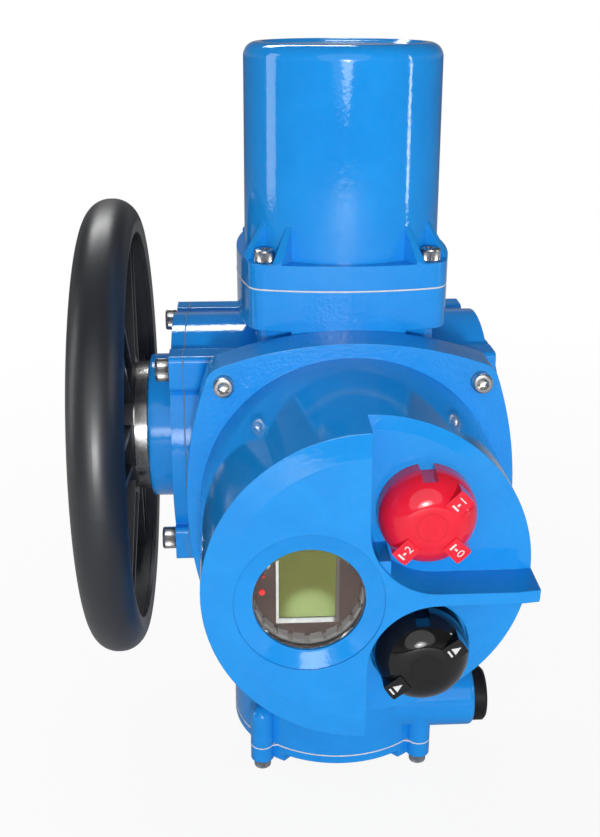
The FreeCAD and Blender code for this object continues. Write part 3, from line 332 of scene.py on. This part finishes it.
# %% [markdown]
# The steel collar of the handwheel was turned on a lathe, and the motor's core is a stack of
# thin sheets. Both show as fine parallel lines, one read from the distance to the shaft's axis
# and the other from the height.

# %% Turned steel and laminations
made, tree, shader, place = start_material("turned steel")
rings = use(tree, turned, {"Vector": place, "Across": (0, 1, 1), "Along": (1, 0, 0)})
mask = use(tree, patches, {"Vector": place, "Scale": 90.0}).outputs["Mask"]
dress(tree, shader, {
    "Base Color": pick(tree, rings.outputs["Mask"], (0.66, 0.65, 0.63), (0.80, 0.79, 0.77)),
    "Roughness": ramp(tree, mask, 0, 1, 0.16, 0.30), "Normal": rings.outputs["Normal"],
    "Metallic": 1.0})
looks["bright_steel"] = made

made, tree, shader, place = start_material("laminated steel")
parts = put(tree, "ShaderNodeSeparateXYZ", {"Vector": place})
sheets = put(tree, "ShaderNodeTexNoise", {"W": parts.outputs["Z"], "Scale": 1900.0},
             noise_dimensions="1D")
bump = put(tree, "ShaderNodeBump", {"Height": sheets.outputs["Fac"], "Distance": 0.00006})
dress(tree, shader, {
    "Base Color": pick(tree, sheets.outputs["Fac"], (0.20, 0.21, 0.23), (0.52, 0.52, 0.53)),
    "Roughness": ramp(tree, sheets.outputs["Fac"], 0.3, 0.7, 0.28, 0.5),
    "Normal": bump.outputs["Normal"], "Metallic": 1.0})
looks["lamination_steel"] = made
print("line finishes:", looks["bright_steel"].name, looks["lamination_steel"].name)

# %% [markdown]
# The circuit boards are green lacquer over copper tracks. A brick pattern gives straight tracks
# with breaks, and the middles of scattered cells give the solder points.

# %% Circuit board
made, tree, shader, place = start_material("circuit board")
flat = put(tree, "ShaderNodeMapping", {"Vector": place, "Rotation": (math.pi / 2, 0, 0)})
tracks = put(tree, "ShaderNodeTexBrick", {"Vector": flat.outputs["Vector"], "Scale": 90.0,
             "Mortar Size": 0.05, "Brick Width": 1.4, "Row Height": 0.35,
             "Color1": (0, 0, 0, 1), "Color2": (0, 0, 0, 1), "Mortar": (1, 1, 1, 1)})
points = put(tree, "ShaderNodeTexVoronoi", {"Vector": place, "Scale": 260.0})
solder = ramp(tree, points.outputs["Distance"], 0.16, 0.12)
green = pick(tree, tracks.outputs["Color"], (0.005, 0.10, 0.035), (0.012, 0.19, 0.07))
bump = put(tree, "ShaderNodeBump", {"Height": tracks.outputs["Color"], "Distance": 0.00004})
dress(tree, shader, {"Base Color": pick(tree, solder, green, (0.55, 0.54, 0.5)),
                     "Roughness": ramp(tree, solder, 0, 1, 0.3, 0.22), "Metallic": solder,
                     "Normal": bump.outputs["Normal"]})
looks["circuit_board"] = made
print("board finish:", made.name)

# %% [markdown]
# Behind the window lie a dark printed plate and the display. The plate is a matt, warm
# grey-brown with a faint weave. The display is olive glass. Its colour is painted lighter towards
# the bottom and the right, it has a painted highlight low down, and it has a darker border where
# it meets its frame. The frame is pale, with a painted shadow on its right side. The slotted ring
# round them is satin. The window is clear glass with the faintest smears. It lets shadow rays
# straight through, so that the lamps light what lies behind it.

# %% Display plate
made, tree, shader, place = start_material("display plate")
weave = put(tree, "ShaderNodeTexNoise", {"Vector": place, "Scale": 900.0, "Detail": 2.0})
mask = use(tree, patches, {"Vector": place, "Scale": 45.0}).outputs["Mask"]
bump = put(tree, "ShaderNodeBump", {"Height": weave.outputs["Fac"], "Distance": 0.00002})
dress(tree, shader, {
    "Base Color": pick(tree, mask, (0.040, 0.020, 0.014), (0.054, 0.030, 0.022)),
    "Roughness": ramp(tree, weave.outputs["Fac"], 0.3, 0.7, 0.62, 0.75),
    "Specular IOR Level": 0.2, "Normal": bump.outputs["Normal"]})
looks["display_plate"] = made
print("plate finish:", made.name)

# %% Display glass
# Place and spread of the painted highlight on the display.
highlight_across, highlight_down = 0.55, 0.90
highlight_narrow, highlight_flat = 2.2, 3.0
made, tree, shader, place = start_material("display glass")
parts = put(tree, "ShaderNodeSeparateXYZ", {"Vector": place})
low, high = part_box("lcd_panel")
across = ramp(tree, parts.outputs["X"], low.x, high.x)
down = ramp(tree, parts.outputs["Z"], high.z, low.z)
# Painted light: the olive is made lighter towards the bottom and the right of the display.
painted_light_slope = math_node(tree, "MULTIPLY", math_node(tree, "ADD", across, down), 0.5)
mask = use(tree, patches, {"Vector": place, "Scale": 70.0}).outputs["Mask"]
olive = pick(tree, painted_light_slope, (0.072, 0.072, 0.004), (0.100, 0.104, 0.012))
olive = pick(tree, math_node(tree, "MULTIPLY", mask, 0.25), olive, (0.13, 0.145, 0.026))
# Painted highlight: a soft light patch low down near the middle, mixed into the colour.
sideways = math_node(tree, "MULTIPLY", math_node(tree, "SUBTRACT", across, highlight_across),
                     highlight_narrow)
downwards = math_node(tree, "MULTIPLY", math_node(tree, "SUBTRACT", down, highlight_down), highlight_flat)
far = math_node(tree, "ADD", math_node(tree, "MULTIPLY", sideways, sideways),
                math_node(tree, "MULTIPLY", downwards, downwards))
painted_highlight = put(tree, "ShaderNodeMapRange", {"Value": far, "From Min": 1.6, "From Max": 0.0,
           "To Min": 0.0, "To Max": 0.62}, interpolation_type="SMOOTHERSTEP").outputs["Result"]
olive = pick(tree, painted_highlight, olive, (0.33, 0.42, 0.16))
from_sides = math_node(tree, "MINIMUM", across, math_node(tree, "SUBTRACT", 1.0, across))
from_ends = math_node(tree, "MINIMUM", down, math_node(tree, "SUBTRACT", 1.0, down))
border = ramp(tree, math_node(tree, "MINIMUM", from_sides, from_ends), 0.02, 0.01)
dress(tree, shader, {"Base Color": pick(tree, border, olive, (0.04, 0.045, 0.012)),
                     "Roughness": ramp(tree, mask, 0, 1, 0.12, 0.2)})
looks["lcd_glass"] = made
print("display finish:", made.name)

# %% Window glass
made, tree, shader, place = start_material("window glass")
smears = use(tree, patches, {"Vector": place, "Scale": 55.0}).outputs["Mask"]
dress(tree, shader, {
    "Base Color": pick(tree, smears, (0.97, 0.98, 0.98), (0.93, 0.95, 0.96)),
    "Roughness": ramp(tree, smears, 0, 1, 0.0, 0.03), "Transmission Weight": 1.0, "IOR": 1.47})
path = put(tree, "ShaderNodeLightPath")
through = put(tree, "ShaderNodeBsdfTransparent", {"Color": (0.92, 0.94, 0.94, 1)})
both = put(tree, "ShaderNodeMixShader", {0: path.outputs["Is Shadow Ray"],
                                         1: shader.outputs[0], 2: through.outputs[0]})
tree.links.new(both.outputs[0], tree.nodes["Material Output"].inputs["Surface"])
looks["window_glass"] = made
print("window finish:", made.name)

# %% Display frame, ring and print
made, tree, shader, place = start_material("display frame")
parts = put(tree, "ShaderNodeSeparateXYZ", {"Vector": place})
low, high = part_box("lcd_frame")
# Painted shadow: the rightmost strip of the frame is darkened as if it lay in shade.
painted_shadow_side = ramp(tree, parts.outputs["X"], high.x - 0.004, high.x - 0.002)
mask = use(tree, patches, {"Vector": place, "Scale": 300.0}).outputs["Mask"]
steel = pick(tree, mask, (0.72, 0.71, 0.68), (0.56, 0.55, 0.53))
dress(tree, shader, {"Base Color": pick(tree, painted_shadow_side, steel, (0.10, 0.085, 0.075)),
                     "Roughness": ramp(tree, mask, 0, 1, 0.3, 0.42), "Metallic": 0.4})
frame_look = made
ring_look = finish("satin ring", (0.56, 0.53, 0.51), (0.44, 0.42, 0.41), (0.34, 0.5), 1600,
                   0.00003, 0.3, 150)
white_print = finish("white print", (0.80, 0.80, 0.80), (0.72, 0.72, 0.73), (0.35, 0.5), 1500,
                     0.00002, patch=200)
print("finishes in all:", len(looks), "and", frame_look.name, ring_look.name, white_print.name)

# %% [markdown]
# Each solid gets the finish of its material slot. The large painted solids have enamels of
# their own, because their castings differ.

# %% Hand out the finishes
slots = {part["node"]: part["material_slot"] for part in frame["record"]["subparts"]}
for name, solid in nodes.items():
    solid.data.materials.clear()
    solid.data.materials.append(enamels.get(name, looks[slots[name]]))
nodes["window_ring"].data.materials[0] = ring_look
nodes["lcd_frame"].data.materials[0] = frame_look
print("finished solids:", len(nodes), "without a finish:",
      [name for name in slots.values() if name not in looks])

# %% [markdown]
# ## Socket screws
# The solids have plain screws. A real socket screw has a knurled head, chamfers and a hexagon
# socket with a lead-in. Its outline is spun about its axis. Then two rings of the spun mesh
# are moved: every second vertex of the knurled band goes inwards, and the socket's rings go out
# to the sides of a hexagon. The places are read from the solids that the screws replace.

# %% Make one screw
steps = 96
knurl_depth = 0.38
socket_bottom = 0.45


def screw_outline(head, height, socket, shank, length):
    """Radius and height in millimetres, from the shank's tip over the head into the socket."""
    bottom = height * socket_bottom
    return [(0, -length), (shank - 0.7, -length), (shank, -length + 0.7), (shank, -0.3),
            (shank + 0.3, 0), (head - 0.5, 0), (head, 0.5), (head, 0.9), (head, height - 2.0),
            (head, height - 1.5), (head - 0.3, height - 0.5), (head - 1.0, height - 0.06),
            (head - 1.4, height), (socket + 0.45, height), (socket + 0.1, height - 0.35),
            (socket, height - 0.8), (socket, bottom), (socket - 0.5, bottom - 0.1),
            (0, bottom - 0.9)]


def spun_screw(outline, head, height, socket):
    """The outline spun about Z, with a knurled head and a hexagon socket."""
    shape = bmesh.new()
    corners = [shape.verts.new((r / 1000, 0, z / 1000)) for r, z in outline]
    edges = [shape.edges.new(pair) for pair in zip(corners, corners[1:])]
    bmesh.ops.spin(shape, geom=corners + edges, cent=(0, 0, 0), axis=(0, 0, 1),
                   angle=2 * math.pi, steps=steps, use_merge=True)
    bmesh.ops.remove_doubles(shape, verts=shape.verts, dist=1e-7)
    for vert in shape.verts:
        radius = math.hypot(vert.co.x, vert.co.y) * 1000
        z = vert.co.z * 1000
        angle = math.atan2(vert.co.y, vert.co.x)
        if abs(radius - head) < 0.01 and 0.8 < z < height - 1.9:
            if round(angle / (2 * math.pi / steps)) % 2:
                vert.co.xy *= (head - knurl_depth) / head
        if height * socket_bottom - 0.2 < z < height - 0.7 and abs(radius - socket) < 0.6:
            flat = socket * math.cos(math.pi / 6)
            vert.co.xy *= flat / math.cos(angle % (math.pi / 3) - math.pi / 6) / socket
    bmesh.ops.recalc_face_normals(shape, faces=shape.faces)
    return shape

test = spun_screw(screw_outline(6.5, 8, 3.4, 4, 29), 6.5, 8, 3.4)
print("one screw has", len(test.faces), "faces")
test.free()

# %% Read the places of the plain screws
def islands(node):
    """The box of each separate solid in a node, in order of place."""
    shape = bmesh.new()
    shape.from_mesh(nodes[node].data)
    bmesh.ops.remove_doubles(shape, verts=shape.verts, dist=1e-6)
    left, found = set(shape.verts), []
    while left:
        waiting, points = [left.pop()], []
        while waiting:
            vert = waiting.pop()
            points.append(vert.co.copy())
            for edge in vert.link_edges:
                other = edge.other_vert(vert)
                if other in left:
                    left.discard(other)
                    waiting.append(other)
        found.append((Vector([min(p[i] for p in points) for i in range(3)]),
                      Vector([max(p[i] for p in points) for i in range(3)])))
    shape.free()
    return sorted(found, key=lambda box: [round(v, 4) for v in box[0]])


def new_piece(name, mesh, body, look):
    """A named piece that rides on a body and has a material slot and a finish."""
    made = bpy.data.objects.new(name, mesh)
    bpy.context.scene.collection.objects.link(made)
    mesh.materials.append(look)
    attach(made, body)
    return made


def smooth(mesh, degrees):
    mesh.polygons.foreach_set("use_smooth", [True] * len(mesh.polygons))
    mesh.set_sharp_from_angle(angle=math.radians(degrees))

print("hub screws at", [tuple(round(v, 4) for v in low) for low, high in
                        islands("handwheel_screws")])

# %% Place the screws
small = (6.5, 8.0, 3.4, 4.0)
large = (8.0, 10.0, 4.6, 5.0)
screw_sets = {
    "motor_cover_screws": ((0, 0, 1), small, "actuator"),
    "control_cover_screws": ((0, -1, 0), small, "actuator"),
    "terminal_cover_screws": ((0, 0, -1), small, "actuator"),
    "base_screws": ((1, 0, 0), small, "actuator"),
    "gear_cover_screws": ((-1, 0, 0), large, "actuator"),
    "handwheel_screws": ((-1, 0, 0), large, "hand_drive"),
}
for node, (axis, (head, height, socket, shank), body) in screw_sets.items():
    axis = Vector(axis)
    joined = bmesh.new()
    for number, (low, high) in enumerate(islands(node)):
        middle, reach = (low + high) / 2, abs((high - low).dot(axis)) / 2
        seat = middle + axis * (reach - height / 1000)
        length = 2 * reach * 1000 - height
        one = spun_screw(screw_outline(head, height, socket, shank, length), head, height, socket)
        upright = axis.to_track_quat("Z", "Y").to_matrix().to_4x4()
        tightened = Matrix.Rotation(0.4 + 1.3 * number, 4, "Z")
        place = Matrix.Translation(seat) @ upright @ tightened
        bmesh.ops.transform(one, matrix=place, verts=one.verts)
        holder = bpy.data.meshes.new("one")
        one.to_mesh(holder)
        joined.from_mesh(holder)
        one.free()
        bpy.data.meshes.remove(holder)
    mesh = bpy.data.meshes.new(node + "_detailed")
    joined.to_mesh(mesh)
    joined.free()
    smooth(mesh, 32)
    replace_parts(new_piece(node + "_detailed", mesh, body, looks["stainless"]), node)
    print(node, "->", len(mesh.polygons), "faces")

# %% [markdown]
# ## Sealant
# A white sealing compound was squeezed out of the joints under the motor cover and above the
# terminal cover. Its bead follows the joint's outline, which is read from the thin seal, and
# swells and thins along it. A half-round section is carried round the outline by extruding
# the outline's edges again and again, each time to the next place of the section.

# %% Outline of a thin seal
def outer_outline(node, height):
    """The corners of a flat seal's outer edge, in order round its middle."""
    shape = bmesh.new()
    shape.from_mesh(nodes[node].data)
    bmesh.ops.remove_doubles(shape, verts=shape.verts, dist=1e-6)
    low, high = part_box(node)
    middle = (low + high) / 2
    rim = {}
    for edge in shape.edges:
        if any(abs(vert.co.z - height) > 1e-5 for vert in edge.verts):
            continue
        centre = (edge.verts[0].co + edge.verts[1].co) / 2 - middle
        outer = [face for face in edge.link_faces
                 if abs(face.normal.z) < 0.3 and face.normal.xy.dot(centre.xy) > 0]
        if outer and centre.xy.length > 0.06:
            for vert in edge.verts:
                around = math.atan2(vert.co.y - middle.y, vert.co.x - middle.x)
                rim[round(around, 4)] = vert.co.copy()
    shape.free()
    return [rim[around] for around in sorted(rim)]


def spaced(points, gap):
    """The closed outline with its long sides cut to steps of about the gap."""
    made = []
    for start, end in zip(points, points[1:] + points[:1]):
        count = max(1, round((end - start).length / gap))
        made += [start.lerp(end, i / count) for i in range(count)]
    return made

for node in ("motor_seal", "terminal_seal"):
    print(node, "outline points:", len(outer_outline(node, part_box(node)[1].z)))

# %% Squeezed-out beads
outline_gap = 0.0012
sunk = 0.0004
sections = 8


def bead(name, node, swell, seed):
    """A closed half-round bead of sealant round a thin seal."""
    low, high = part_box(node)
    outline = spaced(outer_outline(node, high.z), outline_gap)
    middle = sum(outline, Vector()) / len(outline)
    outward = []
    for before, after in zip(outline[-1:] + outline[:-1], outline[1:] + outline[:1]):
        along = (after - before).normalized()
        side = Vector((along.y, -along.x, 0))
        if side.dot((after - middle)) < 0:
            side.negate()
        outward.append(side)
    size = [swell * (0.55 + 0.45 * noise.noise(p * 140 + Vector((seed, 0, 0)))
                     + 0.25 * noise.noise(p * 520)) for p in outline]
    centre_z = (low.z + high.z) / 2
    shape = bmesh.new()

    def ring_places(angle):
        return [Vector((p.x, p.y, centre_z)) + side * (math.cos(angle) * s - sunk)
                + Vector((0, 0, math.sin(angle) * (s * 0.55 + sunk)))
                for p, side, s in zip(outline, outward, size)]

    ring = [shape.verts.new(place) for place in ring_places(-math.pi / 2)]
    edges = [shape.edges.new((a, b)) for a, b in zip(ring, ring[1:] + ring[:1])]
    first_edges = edges
    for step in range(1, sections):
        angle = -math.pi / 2 + step * 2 * math.pi / sections
        grown = bmesh.ops.extrude_edge_only(shape, edges=edges)["geom"]
        fresh = [item for item in grown if isinstance(item, bmesh.types.BMVert)]
        edges = [item for item in grown if isinstance(item, bmesh.types.BMEdge)
                 and all(v in fresh for v in item.verts)]
        for place, vert in zip(ring_places(angle), fresh):
            vert.co = place
    bmesh.ops.bridge_loops(shape, edges=first_edges + edges)
    bmesh.ops.recalc_face_normals(shape, faces=shape.faces)
    mesh = bpy.data.meshes.new(name)
    shape.to_mesh(mesh)
    shape.free()
    smooth(mesh, 60)
    return new_piece(name, mesh, "actuator", looks["sealant"])

for name, node, swell, seed in (("motor_sealant_bead", "motor_seal", 0.0009, 3.0),
                                ("terminal_sealant_bead", "terminal_seal", 0.0010, 8.0)):
    made = bead(name, node, swell, seed)
    print(name, len(made.data.polygons), "faces")

# %% [markdown]
# ## Marks on the knobs
# The photograph's lettering is left out. The tabs carry plain white marks instead: a digit and
# a bar on the red selector's three tabs, and an arrow with a bar on the black selector's two.
# They stand a tenth of a millimetre above the tabs and read outwards from the knob's middle.

# %% Helpers for the marks
mark_face = -0.2703
mark_lift = 0.00002
mark_height = 0.00011


def tab_place(centre, angle):
    """From the mark's own plane to the tab's face, turned by the angle about the knob's axis."""
    along = Vector((math.cos(angle), 0, math.sin(angle)))
    up = Vector((-math.sin(angle), 0, math.cos(angle)))
    turn = Matrix((along, up, (0, -1, 0))).transposed().to_4x4()
    return Matrix.Translation(Vector((centre[0], mark_face + mark_lift, centre[1]))) @ turn


def lay(points, centre, angle, name):
    """A flat outline, in millimetres, raised from the tab's face."""
    shape = bmesh.new()
    corners = [shape.verts.new((x / 1000, y / 1000, 0)) for x, y in points]
    face = shape.faces.new(corners)
    grown = bmesh.ops.extrude_face_region(shape, geom=[face])["geom"]
    bmesh.ops.translate(shape, vec=(0, 0, mark_height),
                        verts=[item for item in grown if isinstance(item, bmesh.types.BMVert)])
    bmesh.ops.recalc_face_normals(shape, faces=shape.faces)
    mesh = bpy.data.meshes.new(name)
    shape.to_mesh(mesh)
    shape.free()
    mesh.transform(tab_place(centre, angle))
    return mesh


def digit(text, centre, angle, name):
    """A digit beside the bar, raised from the tab's face like the flat outlines."""
    curve = bpy.data.curves.new(name, "FONT")
    curve.body = text
    curve.size = 0.0068
    curve.align_x = "CENTER"
    curve.align_y = "CENTER"
    curve.extrude = mark_height / 2
    holder = bpy.data.objects.new(name, curve)
    mesh = bpy.data.meshes.new_from_object(holder)
    bpy.data.objects.remove(holder)
    mesh.transform(Matrix.Translation((0.0024, 0, mark_height / 2)))
    mesh.transform(tab_place(centre, angle))
    mesh.materials.clear()
    return mesh

print("marks lie at", mark_face, "and are", mark_height * 1000, "mm high")

# %% Marks
bar = [(-4.2, -2.3), (-3.0, -2.3), (-3.0, 2.3), (-4.2, 2.3)]
dash = [(-2.0, -0.6), (-0.2, -0.6), (-0.2, 0.6), (-2.0, 0.6)]
arrow = [(-1.4, -2.3), (3.9, 0), (-1.4, 2.3)]
knob_x, reach = -0.0858, 0.0203
marks = [("red", 0.0392, 44.0, 0, "1"), ("red", 0.0392, -45.0, 0, "0"),
         ("red", 0.0392, -134.0, 180, "2"), ("black", -0.0505, 35.5, 0, ""),
         ("black", -0.0505, -143.5, 180, "")]
for number, (knob, knob_z, tab, flip, text) in enumerate(marks):
    tab_angle = math.radians(tab)
    centre = (knob_x + reach * math.cos(tab_angle), knob_z + reach * math.sin(tab_angle))
    angle = tab_angle + math.radians(flip)
    name = f"{knob}_mark_{number}"
    shapes = [lay(bar, centre, angle, name)]
    if text:
        shapes += [digit(text, centre, angle, name), lay(dash, centre, angle, name)]
    else:
        shapes += [lay(arrow, centre, angle, name)]
    joined = bmesh.new()
    for shape in shapes:
        joined.from_mesh(shape)
    mesh = bpy.data.meshes.new(name)
    joined.to_mesh(mesh)
    joined.free()
    new_piece(name, mesh, knob + "_knob", white_print)
print("marks:", len(marks))

# %% [markdown]
# ## Studio
# The picture was cut out on white. The floor is pale and reaches far behind, so that its white
# meets the white surroundings; near the actuator it keeps a soft shadow. Only the camera sees
# the floor and the world as white. The whiteness is theirs, not the lamps'. In reflections the
# world is a dim room, lighter near the horizon, which keeps the enamel's colour deep.

# %% Floor
floor_reach = 60
white_near, white_far = 0.92, 1.0
floor_mesh = bpy.data.meshes.new("floor")
shape = bmesh.new()
bmesh.ops.create_grid(shape, x_segments=1, y_segments=1, size=floor_reach)
bmesh.ops.translate(shape, verts=shape.verts, vec=(0, 0, solid_box[0][2]))
shape.to_mesh(floor_mesh)
shape.free()
floor = bpy.data.objects.new("floor", floor_mesh)
bpy.context.scene.collection.objects.link(floor)

made, tree, shader, place = start_material("pale floor")
mask = use(tree, patches, {"Vector": place, "Scale": 3.0}).outputs["Mask"]
dress(tree, shader, {"Base Color": pick(tree, mask, (0.62, 0.62, 0.62), (0.65, 0.65, 0.65)),
                     "Roughness": 0.9})
path = put(tree, "ShaderNodeLightPath")
away = put(tree, "ShaderNodeVectorMath", {0: place}, operation="LENGTH")
share = math_node(tree, "MULTIPLY", path.outputs["Is Camera Ray"],
                  ramp(tree, away.outputs["Value"], 0.3, 1.2, white_near, white_far))
white = put(tree, "ShaderNodeEmission", {"Color": (1, 1, 1, 1), "Strength": 1.0})
both = put(tree, "ShaderNodeMixShader", {0: share, 1: shader.outputs[0], 2: white.outputs[0]})
tree.links.new(both.outputs[0], tree.nodes["Material Output"].inputs["Surface"])
floor_mesh.materials.append(made)
print("floor at", solid_box[0][2])

# %% World
mirror_low, mirror_high, plain_level = 0.30, 0.08, 0.15
world = bpy.data.worlds.new("world")
bpy.context.scene.world = world
world.use_nodes = True
tree = world.node_tree
path = put(tree, "ShaderNodeLightPath")
mirrored = math_node(tree, "MAXIMUM", path.outputs["Is Glossy Ray"],
                     path.outputs["Is Transmission Ray"])
ways = put(tree, "ShaderNodeSeparateXYZ", {
    "Vector": put(tree, "ShaderNodeTexCoord").outputs["Generated"]})
height = put(tree, "ShaderNodeMapRange", {
    "Value": ways.outputs["Z"], "From Min": -0.05, "From Max": 0.35, "To Min": mirror_low,
    "To Max": mirror_high}, interpolation_type="SMOOTHSTEP")
level = math_node(tree, "MULTIPLY", mirrored, height.outputs["Result"])
ambient = math_node(tree, "MULTIPLY", math_node(tree, "SUBTRACT", 1.0, mirrored), plain_level)
strength = math_node(tree, "MAXIMUM", path.outputs["Is Camera Ray"],
                     math_node(tree, "ADD", level, ambient))
dress(tree, tree.nodes["Background"], {"Color": (1, 1, 1, 1), "Strength": strength})
print("world:", world.name)

# %% [markdown]
# The knobs' highlights show where the light came from: in front, nine degrees above the
# horizon. A small strong lamp there gives their bright cores, and a wider one round it the soft
# halo. A broad lamp fills in from higher up. A strip behind and above draws the crisp white
# bands along the upper edges. A panel on the left gives the handwheel's rim its sheen, and a
# thin strip on the right the line down the motor's drum.

# %% Lamps
def lamp(name, place, aim, size, power):
    """An area lamp: one size makes a disk of that width, two make a rectangle."""
    data = bpy.data.lights.new(name, "AREA")
    data.shape = "DISK" if len(size) == 1 else "RECTANGLE"
    data.size, data.size_y = size[0], size[-1]
    data.energy = power
    made = bpy.data.objects.new(name, data)
    made.location = place
    made.rotation_euler = (Vector(aim) - Vector(place)).to_track_quat("-Z", "Y").to_euler()
    bpy.context.scene.collection.objects.link(made)
    print(name, place, power, "W")

lamp("wide", (-0.30, -2.4, 1.25), (-0.12, 0, 0), (2.8,), 17)
lamp("halo", (-0.13, -3.27, 0.50), (-0.10, -0.2, 0), (1.0,), 12)
lamp("core", (-0.13, -3.27, 0.50), (-0.10, -0.2, 0), (0.30,), 45)
lamp("ceiling_strip", (-0.50, 1.34, 1.55), (-0.35, 0, 0.05), (1.2, 0.36), 18)
lamp("left_panel", (-2.0, 0.05, 0.50), (-0.25, -0.1, 0.10), (0.50, 1.3), 6)
lamp("right_strip", (1.75, -0.50, 0.45), (-0.10, 0, 0.15), (0.12, 1.2), 4.5)
